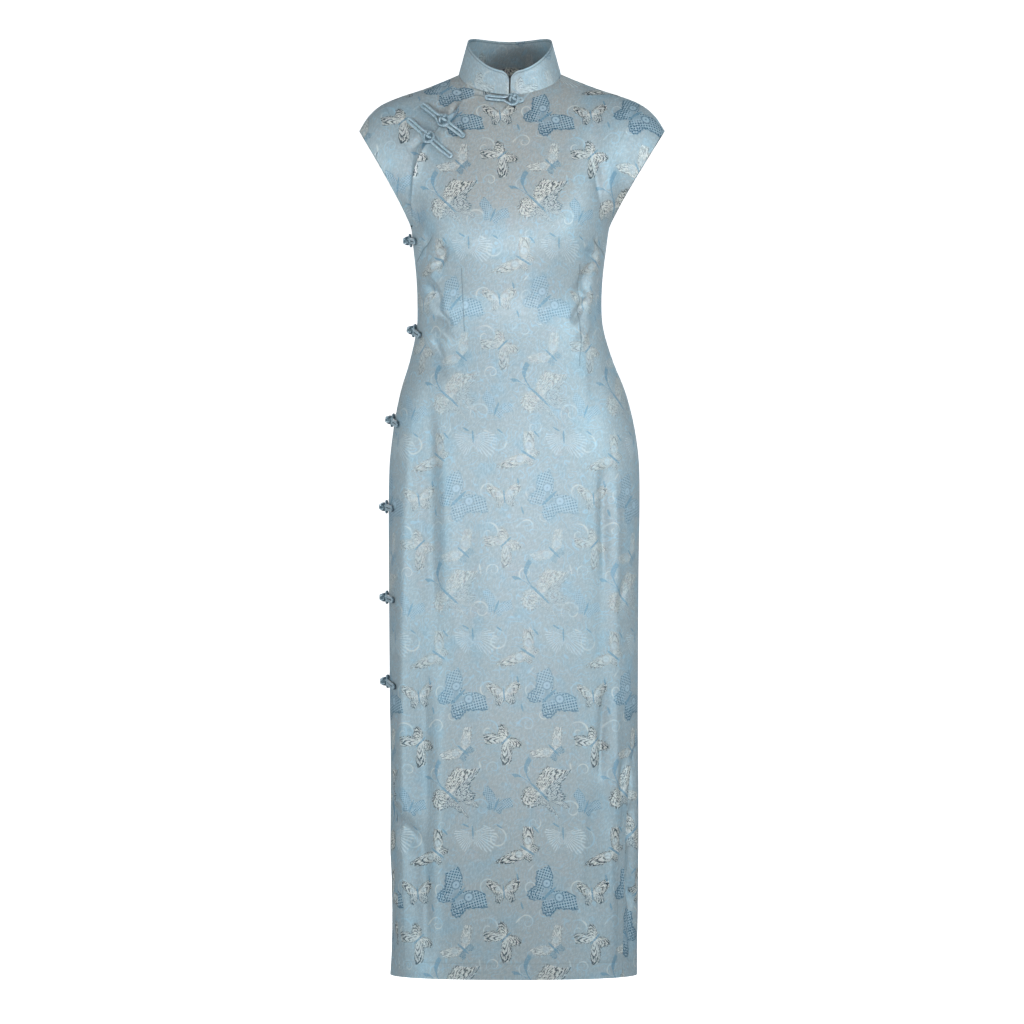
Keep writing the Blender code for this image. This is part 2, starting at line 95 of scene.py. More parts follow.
SECTIONS = table(
    "z half front back square sway seam_left seam_right",
    (-0.19, 0.1415, 0.1185, 0.1, 2.1, -0.002, 88, 88), (ARMHOLE_Z, 0.137, 0.1215, 0.099, 2.1, -0.0025, 88, 88),
    (-0.24, 0.1335, 0.1215, 0.096, 2.1, -0.003, 88, 88), (-0.28, 0.129, 0.11, 0.085, 2.1, -0.0034, 88, 88),
    (-0.318, 0.1274, 0.097, 0.076, 2.15, -0.0035, 88, 88), (-0.35, 0.129, 0.0955, 0.078, 2.2, -0.0028, 88, 88),
    (-0.394, 0.14, 0.101, 0.092, 2.2, -0.001, 88, 88), (-0.44, 0.156, 0.1075, 0.106, 2.25, 0.0014, 88, 88),
    (-0.494, 0.1675, 0.112, 0.114, 2.3, 0.003, 88, 88), (-0.55, 0.173, 0.113, 0.116, 2.3, 0.0032, 88, 88),
    (-0.7, 0.1725, 0.108, 0.112, 2.3, 0.0024, 88, 88), (SLIT_TOP_Z, 0.1715, 0.102, 0.107, 2.3, 0.0026, 87, 86),
    (-0.96, 0.1712, 0.1, 0.106, 2.3, 0.0026, 80, 75), (-1.08, 0.171, 0.0985, 0.105, 2.3, 0.0024, 75, 71),
    (HEM_Z, 0.1708, 0.097, 0.104, 2.3, 0.0023, 74, 70),
)

SHOULDER = table(
    "across x y z",
    (NECK_SHARE, NECK_HALF_WIDTH, 0.004, 0.0014), (0.44, 0.093, 0.0045, -0.0085), (0.56, 0.1215, 0.005, -0.0195),
    (0.7, 0.1545, 0.005, -0.0303), (0.82, 0.181, 0.0045, -0.042), (0.92, 0.199, 0.004, -0.058),
    (1.0, 0.2115, 0.003, -0.0775),
)

PULL = "across out down"
FRONT_PULLS = table(
    PULL,
    (0.0, 0.016, 0.048), (0.17, 0.03, 0.034), (NECK_SHARE, 0.044, 0.004), (0.56, 0.056, 0.0), (0.8, 0.058, 0.0),
    (1.0, 0.056, 0.0),
)
BACK_PULLS = table(
    PULL,
    (0.0, 0.02, 0.04), (0.17, 0.034, 0.026), (NECK_SHARE, 0.046, 0.003), (0.56, 0.058, 0.0), (0.8, 0.06, 0.0),
    (1.0, 0.058, 0.0),
)
YOKE_RISE = 0.36
SLEEVE_FLARE = 0.012
SLEEVE_SWELL = 0.058
SLEEVE_SPREAD = 4

CUP_X = 0.078
CUP_Z = -0.218
CUP_RADIUS = 0.062
CUP_DEPTH = 0.01

# Folds of the construction, then the creases that only the cloth's finer surface has
FOLD = "x_top z_top x_bottom z_bottom width depth"
DART = "x_top z_top x_bottom z_bottom"
FRONT_FOLDS = millimetres(
    FOLD,
    (-118, -440, -104, -900, 16, -4.5), (-146, -400, -148, -860, 14, 3), (-64, -600, -60, -860, 16, -2.5),
    (126, -520, 122, -960, 14, -4), (104, -90, 132, -215, 13, -5),
)
BACK_FOLDS = millimetres(
    FOLD,
    (-110, -560, -118, -1100, 18, -4), (0, -640, 6, -1180, 22, 3.5), (108, -540, 100, -1000, 18, -4.5),
    (-100, -90, -128, -205, 14, -4.5), (100, -90, 128, -205, 14, -4.5),
)
FRONT_CREASES = millimetres(
    FOLD,
    (104, -78, 132, -222, 5, -4.6), (120, -88, 142, -200, 9, 1.4), (160, -80, 150, -160, 10, -2.2),
    (-81.5, -36, -91, -72, 5, 3.4), (-72, -38, -86, -72, 3.2, -3.2), (-95, -76, -98.5, -108, 5, 3),
    (-118, -83, -140, -108, 6, -5), (-136, -98, -146, -176, 5.5, -4.6), (-122, -96, -138, -156, 6, 4),
    (-160, -86, -164, -150, 9, 3), (-126, -170, -130, -220, 8, -2.8), (-111.3, -222, -121, -243, 5, -4),
    (114, -226, 121, -244, 5, -4), (-91, -242, -103, -272, 5.5, -8.2), (-118, -288, -111, -308, 4.2, -4.4),
    (-110, -284, -100, -330, 5.5, -7.8), (-106, -268, -107, -304, 6, 4), (-105, -328, -82, -352, 4.6, -6.6),
    (-106, -344, -76, -376, 5.5, 5), (-109, -364, -90, -420, 6.5, -5.9), (-100, -390, -86, -460, 8, 3),
    (100, -244, 116, -258, 5, -7), (107, -264, 101, -306, 5.5, -8), (100, -278, 88, -312, 6.5, -5),
    (103, -312, 82, -346, 4.8, -6.2), (107, -336, 88, -390, 6, 4.7), (115, -390, 109, -460, 8, -2.6),
    (-118, -430, -114, -740, 15, -7), (-149, -560, -150, -1240, 8, 4.3), (-88, -470, -82, -790, 13, 3.6),
    (-66, -620, -64, -730, 7, -2.6), (124, -540, 128, -700, 6, -6.8), (140, -550, 142, -800, 9, 4.9),
    (158, -690, 142, -750, 6, -4.6), (129, -840, 121, -970, 6, -7), (140, -850, 142, -1050, 8, 4.9),
    (157, -930, 146, -1000, 5, -5.4), (112, -980, 106, -1190, 10, -4.9), (133, -1030, 136, -1240, 8, 4.1),
    (-126, -760, -120, -1080, 14, -6.5), (-164, -1010, -124, -1070, 10, -6.8), (-124, -1020, -119, -1230, 11, -5.4),
    (-90, -820, -96, -1200, 13, 3.2), (-44, -900, -50, -1220, 14, -2.6), (20, -700, 14, -1100, 18, -2.6),
    (60, -860, 66, -1230, 14, -2.6), (-14, -430, 4, -640, 20, 2.2), (52, -400, 64, -620, 18, -2.4),
)
FRONT_DARTS = millimetres(
    DART,
    (-111.3, -228.2, -131.4, -261.4), (114, -230, 131, -258), (-69.1, -270, -65, -360), (92.7, -265, 92.7, -408),
)
BACK_DARTS = millimetres(
    DART,
    (-52, -250, -50, -430), (54, -250, 51, -435),
)
BACK_CREASES = millimetres(
    FOLD,
    (-104, -86, -130, -216, 4.5, -3.4), (106, -82, 132, -210, 4, -3.7), (-52, -260, -50, -420, 2.8, -2),
    (54, -258, 51, -425, 2.8, -2), (-20, -45, 24, -52, 7, -2.4), (-110, -300, -70, -336, 6, -3.1),
    (112, -310, 64, -350, 6, -3.1), (-112, -340, -60, -366, 6, 2.4), (108, -286, 76, -312, 5, 2),
    (-132, -470, -126, -700, 8, -3.1), (-70, -520, -78, -860, 10, 2.7), (66, -560, 60, -940, 11, -3.1),
    (134, -520, 130, -800, 8, 3.1), (-40, -820, -48, -1190, 12, -2.7), (40, -900, 46, -1210, 12, 2.7),
    (-136, -860, -130, -1160, 7, 2.7), (126, -900, 118, -1200, 7, -3.1), (163, -840, 160, -1060, 4, -6.2),
    (169, -900, 170, -1200, 4.5, 3), (156, -930, 168, -975, 3.4, -5), (167, -1000, 157, -1060, 3.6, -5.2),
    (156, -1090, 168, -1150, 3.6, -4.6), (161, -1020, 164, -1240, 4, -5.4), (-165, -880, -163, -1120, 4, -3.4),
    (-166, -1080, -168, -1240, 5, -3),
)

OPENING = table(
    "across down",
    (-1.0, 1.0), (-0.89, 1.0), (-0.8, 0.83), (-0.7, 0.675), (-0.61, 0.566), (-0.51, 0.478), (-0.38, 0.385),
    (-0.25, 0.245), (-0.15, 0.092), (-0.05, 0.07), (0.0, 0.0),
)

# Rows and columns of the meshes and charts, steps of the searches, and limits of local changes on the panels
YOKE_ROWS = 70
FITTED_ROWS = 110
SKIRT_ROWS = 90
HALF_COLUMNS = 88
UNDER_ROWS = 80
ROW_CROWDING = 1.3
COLLAR_CROWDING = 1.25
COLLAR_COLUMNS = 160
COLLAR_ROWS = 16
CHART_COLUMNS = 160
CHART_ROWS = 300
NORMAL_STEP = 0.004
SLOPE_STEP = 0.002
CREASE_SHARPNESS = 0.7
HALVINGS = 18
SINK_ACROSS = (-0.12, -0.06)
SINK_SIDE = (-0.97, -0.86)
SINK_SHARE = (0.35, 0.8)
LEAST_DOWN = 0.01
EASE_PASSES = 90
EASE_TOP = (0.01, 0.16)
EASE_BOTTOM = (1.0, 0.8)
EASE_ACROSS = (0.74, 0.56)
WELD = 0.00005
CORD_WELD = 0.00001
CLOTH_SHARP = 50
CORD_SHARP = 60

# Sewn hems, by how far in their stitches lie, and where each piece's cloth lies in the pattern's repeat
FAINT_SEAM = 10.0
SLEEVE_HEM = 0.034
HEM_DEPTH = 0.022
SLIT_HEM = 0.012
COLLAR_STITCH = 0.003
EDGE_ROLL = 0.0012
EDGE_WIDTH = 0.0035
ROLL_ACROSS = (-0.05, -0.2)
EDGE_LINE = 0.0002
EDGE_STEPS = 900
# How much closer the underlap counts to the opening edge, so that the edge's painted shadow reaches about three times
# wider there
EDGE_SHADE = 0.35
DART_REACH = 0.004
FRONT_SHIFT = np.array([0.0, 0.0])
BACK_SHIFT = np.array([0.02, 0.06])
UNDER_SHIFT = np.array([0.012, -0.05])
COLLAR_SHIFT = np.array([0.03, 0.155])

# Frogs of doubled silk tube
CORD_RADIUS = 0.0022
STRAND = CORD_RADIUS + 0.0001
CORD_REST = CORD_RADIUS + 0.0006
LEG_LENGTH = 0.038
BALL_LIFT = 0.0068
EYE_RADIUS = 0.0074
EYE_LIFT = 0.0031
EYE_TURN = 128
EYE_MOUTH = 0.004
STRAND_BULGE = 0.0002
KNOT_RADIUS = 0.0046
KNOT_CORE = 0.0063
# Lift of the woven ball's marks toward its crown, which lightens its painted shade
BALL_SHADE = 0.22
KNOT_WEAVE = 0.0009
KNOT_CORD = 0.0018
KNOT_TILT = 74
KNOT_LEADS = 3
KNOT_BIGHTS = 4
KNOT_STEPS = 150
KNOT_FACES = (20, 14)
STALK_STEPS = 6
LEG_STEPS = 16
FOLD_STEPS = 9

CHEST_FROGS = table(
    "name x z slope front_leg under_leg",
    ("neck", 0.001, -0.04, -4.0, 0.014, 0.036),
    ("collarbone", -0.0932, -0.0697, -38.0, 0.036, 0.038),
    ("chest", -0.1137, -0.0919, -42.0, 0.042, 0.038),
)
SIDE_FROGS = table(
    "name z fall",
    ("underarm", -0.229, 0.1), ("waist", -0.354, 0.22), ("upper_hip", -0.478, 0.18), ("hip", -0.597, 0.08),
    ("thigh", -0.722, 0.1), ("slit", -0.838, 0.18),
)

# Woven motifs, by place in a repeat of the cloth; turn is from upright, to the left
REPEAT = (0.1245, 0.2697)
MOTIF_START = (0.0, -0.892)
MOTIFS = table(
    "x y turn half squeeze wing fill cream hind depth spots feelers",
    (-0.0118, -0.03, -46, 0.0425, 0.95, "swept", "bands", 1.0, 0.9, 1.0, 0.0, 0),
    (-0.0243, -0.119, -22, 0.042, 1.0, "vee", "net", 0.0, 0.0, 0.6, 0.0, 0),
    (0.0555, -0.044, 46, 0.046, 0.95, "vee", "specks", 0.9, 0.2, 0.7, 0.5, 0),
    (0.036, -0.102, 46, 0.076, 0.38, "spread", "specks", 1.0, 0.7, 1.0, 0.0, 1),
    (0.0193, -0.1812, 57, 0.051, 0.95, "vee", "bands", 1.0, 0.9, 1.0, 0.6, 0),
    (0.0678, -0.1563, 2, 0.038, 1.0, "fan", "ribs", 1.0, 0.9, 0.35, 0.0, 0),
    (0.0468, -0.24, -46, 0.06, 0.92, "broad", "net", 0.0, 0.0, 1.0, 1.0, 0),
    (-0.0138, -0.238, 6, 0.038, 0.84, "broad", "bands", 1.0, 0.8, 1.0, 0.5, 0),
)

# Reach of a wing round its root, from straight down (0) through level (0.5) to straight up (1)
WINGS = {
    "spread": (
        (0.0, 0.1), (0.06, 0.34), (0.11, 0.8), (0.15, 0.46), (0.22, 0.5), (0.3, 0.4), (0.4, 0.46), (0.45, 0.72),
        (0.49, 0.95), (0.52, 1.0), (0.56, 0.92), (0.62, 0.66), (0.72, 0.42), (0.86, 0.22), (1.0, 0.06),
    ),
    "vee": (
        (0.0, 0.06), (0.1, 0.18), (0.2, 0.32), (0.28, 0.34), (0.4, 0.27), (0.5, 0.3), (0.58, 0.5), (0.65, 0.8),
        (0.69, 1.0), (0.72, 0.9), (0.76, 0.62), (0.83, 0.36), (0.91, 0.16), (1.0, 0.05),
    ),
    "fan": (
        (0.0, 0.3), (0.05, 0.42), (0.11, 0.6), (0.18, 0.86), (0.26, 1.0), (0.36, 0.94), (0.46, 0.88), (0.54, 0.8),
        (0.6, 0.62), (0.64, 0.34), (0.68, 0.1), (0.8, 0.05), (1.0, 0.05),
    ),
    "broad": (
        (0.0, 0.1), (0.08, 0.3), (0.16, 0.46), (0.26, 0.54), (0.34, 0.48), (0.42, 0.4), (0.5, 0.46), (0.57, 0.6),
        (0.62, 0.8), (0.66, 1.0), (0.69, 0.96), (0.74, 0.72), (0.81, 0.48), (0.9, 0.22), (1.0, 0.06),
    ),
    "swept": (
        (0.0, 0.08), (0.08, 0.22), (0.15, 0.46), (0.2, 0.76), (0.25, 1.0), (0.31, 0.9), (0.37, 0.62), (0.44, 0.4),
        (0.52, 0.42), (0.6, 0.54), (0.67, 0.58), (0.76, 0.46), (0.86, 0.28), (1.0, 0.08),
    ),
}
FILLS = ("net", "ribs", "bands", "specks")
MIX_SOCKETS = {"FLOAT": (2, 3, 0), "VECTOR": (4, 5, 1), "RGBA": (6, 7, 2)}
SCALLOPS = 17
THREAD_PITCH = 0.00055

# Scrolls between the motifs, by place in the repeat
SCROLLS = table(
    "x y turn size",
    (0.09, -0.018, 20, 0.017), (0.016, -0.072, 200, 0.012), (0.079, -0.123, 300, 0.016), (0.027, -0.143, 110, 0.011),
    (-0.024, -0.164, 60, 0.016), (0.024, -0.23, 150, 0.013), (0.09, -0.229, 240, 0.014), (0.018, -0.009, 330, 0.012),
    (-0.028, -0.068, 280, 0.011), (0.04, -0.264, 80, 0.01),
)

# Short woven strokes: place, turn from upright, length, half width, and whether they are dark blue
STROKES = table(
    "x y turn length width blue",
    (0.064, -0.02, -35, 0.012, 0.0012, 0.0), (0.006, -0.006, -40, 0.011, 0.0012, 0.0),
    (0.03, -0.152, 40, 0.012, 0.0013, 1.0), (0.058, -0.145, 60, 0.011, 0.0013, 1.0),
    (-0.02, -0.148, 55, 0.01, 0.0012, 1.0), (0.023, -0.205, -38, 0.012, 0.0012, 0.0),
    (0.005, -0.217, 12, 0.011, 0.0014, 1.0), (0.011, -0.256, 16, 0.011, 0.0014, 1.0),
    (0.078, -0.066, 10, 0.015, 0.0013, 0.0), (0.086, -0.148, 70, 0.008, 0.0012, 0.0),
)

# Silk colours, linear
GROUND = (0.352, 0.388, 0.396)
GROUND_BLUE = (0.262, 0.4, 0.478)
GROUND_ROSE = (0.4, 0.385, 0.385)
# Painted unlit ground: warm grey where the painted sheen is absent
GROUND_PAINTED_UNLIT = (0.41, 0.372, 0.33)
THREAD_BLUE = (0.12, 0.28, 0.41)
THREAD_LIGHT = (0.34, 0.54, 0.65)
THREAD_PALE = (0.46, 0.6, 0.68)
THREAD_CREAM = (0.74, 0.71, 0.63)
# Cream threads painted whiter outside the painted sheen band
THREAD_WHITE = (0.92, 0.86, 0.77)
THREAD_ROSE = (0.6, 0.5, 0.45)
THREAD_DARK = (0.032, 0.052, 0.072)
THREAD_INK = (0.03, 0.115, 0.2)
SEAM_SHADE = (0.06, 0.095, 0.12)
CORD_COLOUR = (0.37, 0.47, 0.52)
CORD_LIGHT = (0.53, 0.62, 0.67)
CORD_PAINTED_SHADE = (0.08, 0.125, 0.155)

# Painted sheen, by heights and half widths on the flat cloth: where the ground is painted warm grey as if unlit, and
# the band between chest and lower skirt where the weave is faded as painted sheen, bolder above and below it
PAINTED_UNLIT_CHEST = (-0.24, -0.17)
PAINTED_UNLIT_HEM = (-0.8, -0.94)
PAINTED_UNLIT_SIDE = (0.13, 0.06)
PAINTED_SHEEN_TOP = (-0.17, -0.23)
PAINTED_SHEEN_BOTTOM = (-0.92, -0.78)

# The cloth's unevenness, as scales of noise: broad, then of the threads and of the worn motifs
CLOUDS, TINTS, VEINS, WANDER = 26.0, 34.0, 38.0, 60.0
SLUBS, TWILL, GRAIN, WEAVE_SCALE = 520.0, 640.0, 700.0, 420.0
WEAR, BLUSH, BLUES, THIN = 420.0, 120.0, 90.0, 300.0
CORD_CLOUDS, CORD_GRAIN, CORD_FLECKS = 260.0, 2600.0, 900.0
TINT_SHIFT = (3.1, 7.7, 0.0)
SLUB_STRETCH = (1.0, 0.35, 0.0)
TWILL_STRETCH = (1.0, 0.3, 0.0)
TWILL_TURN = 0.9

# Stitches, the cord's slanting weave, and the finish of each material
STITCH_WIDTH = 0.0005
STITCH_PITCH = 0.0045
# Width of the seams' grooves, and the strength of their painted shade on darts and edges and on hems
GROOVE_WIDTH = 0.0016
HEM_SHADE = 0.6
SEAM_FADE = 0.16
STITCH_SHADE = 0.12
CORD_PITCH = 0.0022
CORD_SLANT = 0.0008
SILK_ROUGH = 0.53
MOTIF_ROUGH = 0.57
SILK_RELIEF = (0.35, 0.00016)
CORD_RELIEF = (0.4, 0.0002)
COOL = (0.8, 0.93, 1.0, 1.0)
SILK_FINISH = {
    "IOR": 1.9,
    "Specular IOR Level": 1.0,
    "Specular Tint": COOL,
    "Sheen Roughness": 0.35,
    "Sheen Tint": (0.7, 0.88, 1.0, 1.0),
}
CORD_FINISH = {"Specular IOR Level": 0.8, "Specular Tint": COOL, "Sheen Weight": 0.15}
WHITE = {"Base Color": (0.9,) * 3 + (1.0,), "Roughness": 0.9, "Emission Color": (1.0,) * 4, "Emission Strength": 1.0}

# Studio
FLOOR_Z = -1.4
STAGE_RADIUS = 14.0
FILL_COLOUR = (0.93, 0.97, 1.0, 1.0)
FILL_STRENGTH = 0.29
LAMPS = table(
    "name place aim size power spread colour",
    ("key", (1.0, -5.8, 0.7), (0.02, 0.0, -0.48), (4.0, 0.7), 4.1, 44, (1.0, 1.0, 1.0)),
    ("reflector", (0.0, -2.9, -1.36), (0.0, -0.08, -0.25), (2.0, 0.5), 2.4, 36, (1.0, 1.0, 1.0)),
    ("right", (4.81, -3.37, 0.7), (0.0, 0.0, -0.5), (2.4, 1.0), 17.5, 60, (0.7, 0.91, 1.0)),
    ("left", (-4.92, -3.44, -0.55), (0.0, 0.0, -0.55), (2.4, 1.0), 116.0, 180, (0.7, 0.91, 1.0)),
    ("rear", (0.0, 4.5, 0.6), (0.0, 0.0, -0.5), (2.4, 2.0), 110.0, 180, (1.0, 1.0, 1.0)),
)


def smooth_value(rows, column, at):
    """Read a column of a table at values of its first column, along a smooth curve through its rows."""
    places = np.array([row[0] for row in rows])
    values = np.array([getattr(row, column) for row in rows])
    if places[0] > places[-1]:
        places, values = places[::-1], values[::-1]
    at = np.clip(at, places[0], places[-1])
    numbers = np.arange(len(places))
    low = np.maximum(numbers - 1, 0)
    high = np.minimum(numbers + 1, len(places) - 1)
    slopes = (values[high] - values[low]) / (places[high] - places[low])
    span = np.clip(np.searchsorted(places, at) - 1, 0, len(places) - 2)
    step = places[span + 1] - places[span]
    t = (at - places[span]) / step
    return (
        values[span] * (2 * t**3 - 3 * t**2 + 1)
        + slopes[span] * step * (t**3 - 2 * t**2 + t)
        + values[span + 1] * (3 * t**2 - 2 * t**3)
        + slopes[span + 1] * step * (t**3 - t**2)
    )


def section(column, z):
    """A measure of the dress's level sections at heights z."""
    return smooth_value(SECTIONS, column, z)


def pairs(first, second):
    """Array of pairs from arrays of their two values."""
    return np.stack(np.broadcast_arrays(first, second), axis=-1).astype(float)


def points(x, y, z):
    """Array of points from arrays of coordinates."""
    return np.stack(np.broadcast_arrays(x, y, z), axis=-1).astype(float)


def body_point(angle, z):
    """Points of the body surface at levels, at angles in degrees from the middle of the front toward +X."""
    half, square = section("half", z), section("square", z)
    side = np.abs(np.sin(np.radians(angle)))
    ahead = np.cos(np.radians(angle))
    depth = np.where(ahead > 0, section("front", z), section("back", z))
    reach = ((side / half) ** square + (np.abs(ahead) / depth) ** square) ** (-1 / square)
    return points(section("sway", z) + np.copysign(side * reach, angle), -ahead * reach, z)


def seam_angle(across, z):
    """Angle of the side seam of the side that a panel coordinate is on."""
    return np.where(np.asarray(across) < 0, section("seam_left", z), section("seam_right", z))


def beside(line, x, z):
    """How far along a line and to its side places lie, seen from the front, and the line's length."""
    run_x, run_z = line.x_bottom - line.x_top, line.z_bottom - line.z_top
    length = math.hypot(run_x, run_z)
    x, z = x - line.x_top, z - line.z_top
    return (x * run_x + z * run_z) / length, (x * run_z - z * run_x) / length, length


def fold_depth(folds, x, z, sharpness=1.0):
    """How far the folds stand out of the cloth at places seen from the front."""
    total = np.zeros(np.broadcast(x, z).shape)
    for fold in folds:
        along, aside, length = beside(fold, x, z)
        reach = np.sin(math.pi * np.clip(along / length, 0, 1)) ** sharpness
        total += fold.depth * reach * np.exp(-((aside / fold.width) ** 2))
    return total


def ring_point(ring, turn):
    """Points of a ring round the neck, turn degrees from the middle of the back."""
    turn = np.radians(turn)
    height = ring.mean + ring.fall * np.cos(turn) + ring.saddle * np.cos(2 * turn)
    return points(NECK_SWAY + ring.half_width * np.sin(turn), ring.y + ring.half_depth * np.cos(turn), height)


def top_edge(across, facing):
    """Top edge of a panel: neckline, then shoulder seam. Facing is -1 for the front and 1 for the back."""
    out = np.abs(across)
    side = np.copysign(1.0, across)
    turn = 90 * np.minimum(out, NECK_SHARE) / NECK_SHARE
    neck = ring_point(NECKLINE, side * (180 - turn if facing < 0 else turn))
    seam = points(
        NECK_SWAY * (1 - out) + side * smooth_value(SHOULDER, "x", out),
        smooth_value(SHOULDER, "y", out),
        smooth_value(SHOULDER, "z", out),
    )
    return np.where((out <= NECK_SHARE)[..., None], neck, seam)


def level_point(across, z, facing):
    """Points of a panel below the armholes."""
    seam = seam_angle(across, z)
    gap = SLIT_GAP - (SLIT_GAP + SEAM_LAP) * ramp(z, (SLIT_TOP_Z, SLIT_TOP_Z + SLIT_REACH))
    trim = np.degrees(gap / 2 / section("half", z))
    if facing < 0:
        return body_point(across * (seam - trim), z)
    side = np.copysign(1.0, across)
    return body_point(side * (180 - np.abs(across) * (180 - seam - trim)), z)


def yoke_point(across, down, facing):
    """Points of a panel above the armhole level, on a curve from its top edge to that level."""
    pulls = FRONT_PULLS if facing < 0 else BACK_PULLS
    out = np.abs(across)
    side = np.copysign(1.0, across)
    top = top_edge(across, facing)
    low = level_point(across, np.full(out.shape, ARMHOLE_Z), facing)
    leave = top + points(0.0, facing * smooth_value(pulls, "out", out), -smooth_value(pulls, "down", out))
    rise = low - level_point(across, np.full(out.shape, ARMHOLE_Z - SLOPE_STEP), facing)
    rise *= (YOKE_RISE * (top[..., 2] - low[..., 2]) / rise[..., 2])[..., None]
    flare = out**SLEEVE_SPREAD
    arrive = low + rise + points(side * SLEEVE_FLARE * flare, facing * SLEEVE_SWELL * flare, 0.0)
    down = down[..., None]
    up = 1 - down
    return up**3 * top + 3 * up**2 * down * leave + 3 * up * down**2 * arrive + down**3 * low


def panel_point(across, down, facing):
    """Points of the front or back: down runs from 0 at the top to 1 at the armhole level and 2 at the hem."""
    across, down = np.broadcast_arrays(np.asarray(across, float), np.asarray(down, float))
    yoke = yoke_point(across, np.clip(down, 0, 1), facing)
    level = level_point(across, ARMHOLE_Z + (np.maximum(down, 1) - 1) * (HEM_Z - ARMHOLE_Z), facing)
    point = np.where((down <= 1)[..., None], yoke, level)
    relief = fold_depth(FRONT_FOLDS if facing < 0 else BACK_FOLDS, point[..., 0], point[..., 2])
    if facing < 0:
        calm = ramp(1 - np.abs(across), SEAM_CALM)
        for cup_x in (-CUP_X, CUP_X):
            distance = np.hypot(point[..., 0] - cup_x, point[..., 2] - CUP_Z) / CUP_RADIUS
            relief += CUP_DEPTH * np.exp(-(distance**2)) * calm * (2 - calm)
    point[..., 1] += facing * relief
    return point


def panel_normal(across, down, facing):
    """Outward directions of the cloth at places on a panel."""
    along = panel_point(np.minimum(across + NORMAL_STEP, 1.0), down, facing)
    along -= panel_point(np.maximum(across - NORMAL_STEP, -1.0), down, facing)
    fall = panel_point(across, np.minimum(down + NORMAL_STEP, 2.0), facing)
    fall -= panel_point(across, np.maximum(down - NORMAL_STEP, 0.0), facing)
    normal = np.cross(fall, along) * -facing
    return normal / np.linalg.norm(normal, axis=-1, keepdims=True)


def creased_point(across, down, facing, lift=0.0):
    """Points of the finished cloth, with its fine creases, raised by lift."""
    point = panel_point(across, down, facing)
    creases = FRONT_CREASES if facing < 0 else BACK_CREASES
    relief = fold_depth(creases, point[..., 0], point[..., 2], CREASE_SHARPNESS)
    return point + panel_normal(across, down, facing) * (relief + lift)[..., None]


def opening_down(across):
    """How far down the yoke the front's edge lies; its right side starts at the neckline."""
    down = np.minimum(smooth_value(OPENING, "down", across), 1.0)
    return np.where(np.asarray(across) >= 0, 0.0, down)


def ramp(value, limits):
    """Share of the way between two limits, held within them."""
    start, end = limits
    return np.clip((value - start) / (end - start), 0.0, 1.0)


def cloth_chart(facing):
    """Flat width and length of a panel on an even lattice, from the middle and from the armhole level."""
    across = np.linspace(-1, 1, CHART_COLUMNS + 1)
    down = np.linspace(0, 2, CHART_ROWS + 1)
    grid = panel_point(across[None, :], down[:, None], facing)
    steps = np.diff(grid, axis=1)
    widths = np.hypot(steps[..., 0], steps[..., 1] * np.minimum(down, 1.0)[:, None] ** 2)
    width = np.pad(np.cumsum(widths, axis=1), ((0, 0), (1, 0)))
    width -= width[:, CHART_COLUMNS // 2, None]
    falls = np.diff(grid, axis=0)
    length = np.pad(np.cumsum(np.hypot(falls[..., 1], falls[..., 2]), axis=0), ((1, 0), (0, 0)))
    length = ARMHOLE_Z - length + length[CHART_ROWS // 2]
    return width, length


def read_chart(chart, across, down):
    """Value of a chart at places on the panel."""
    column = np.clip((across + 1) / 2 * CHART_COLUMNS, 0, CHART_COLUMNS - 1e-6)
    row = np.clip(down / 2 * CHART_ROWS, 0, CHART_ROWS - 1e-6)
    i, j = row.astype(int), column.astype(int)
    s, t = row - i, column - j
    upper = chart[i, j] * (1 - t) + chart[i, j + 1] * t
    lower = chart[i + 1, j] * (1 - t) + chart[i + 1, j + 1] * t
    return upper * (1 - s) + lower * s


def hem_lines(across, down, flat, charts, sleeves):
    """Run along the nearest hem or side seam, and how far past its line of stitches each place lies."""
    width, length = charts
    side = np.copysign(1.0, across)
    to_side = np.abs(read_chart(width, side, down) - flat[..., 0])
    to_hem = flat[..., 1] - read_chart(length, across, np.full(across.shape, 2.0))
    level = ARMHOLE_Z + (down - 1) * (HEM_Z - ARMHOLE_Z)
    on_sleeve = (down < 1) & np.isin(side, sleeves)
    depth = np.where(on_sleeve, SLEEVE_HEM, np.where(level < SLIT_TOP_Z, SLIT_HEM, 0.0))
    past_side = np.where((down < 1) & ~on_sleeve, 1.0, to_side - depth)
    past_hem = to_hem - HEM_DEPTH
    nearer = past_hem < past_side
    run = np.where(nearer, flat[..., 0], flat[..., 1]) + FAINT_SEAM
    return pairs(run, np.where(nearer, past_hem, past_side))


def dart_lines(darts, place, seams):
    """Seam map with the darts' sewn lines in place of farther hems; place is seen from the front."""
    for dart in darts:
        along, aside, length = beside(dart, place[..., 0], place[..., 2])
        near = (np.abs(aside) < DART_REACH) & (along > 0) & (along < length)
        seams = np.where(near[..., None], pairs(along, aside), seams)
    return seams


def edge_gap(across, down):
    """Distance of places on the yoke from the front's opening edge, below zero outside it."""
    along = np.linspace(-1.0, 0.0, EDGE_STEPS)
    place = panel_point(across, np.minimum(down, 1.0), -1)
    gap = np.full(place.shape[:-1], np.inf)
    for point in panel_point(along, opening_down(along), -1):
        gap = np.minimum(gap, np.linalg.norm(place - point, axis=-1))
    return np.where(down < opening_down(across), -gap, gap)


def edge_line(across, down, seams):
    """Seam map with the front's opening edge in place of farther hems, its painted shadow wider on the underlap."""
    gap = edge_gap(across, down)
    gap = np.where(gap < 0, -gap * EDGE_SHADE, gap) + EDGE_LINE
    near = (across < 0) & (down <= 1) & (gap < np.abs(seams[..., 1]))
    return np.where(near[..., None], pairs(seams[..., 0] - FAINT_SEAM, gap), seams)


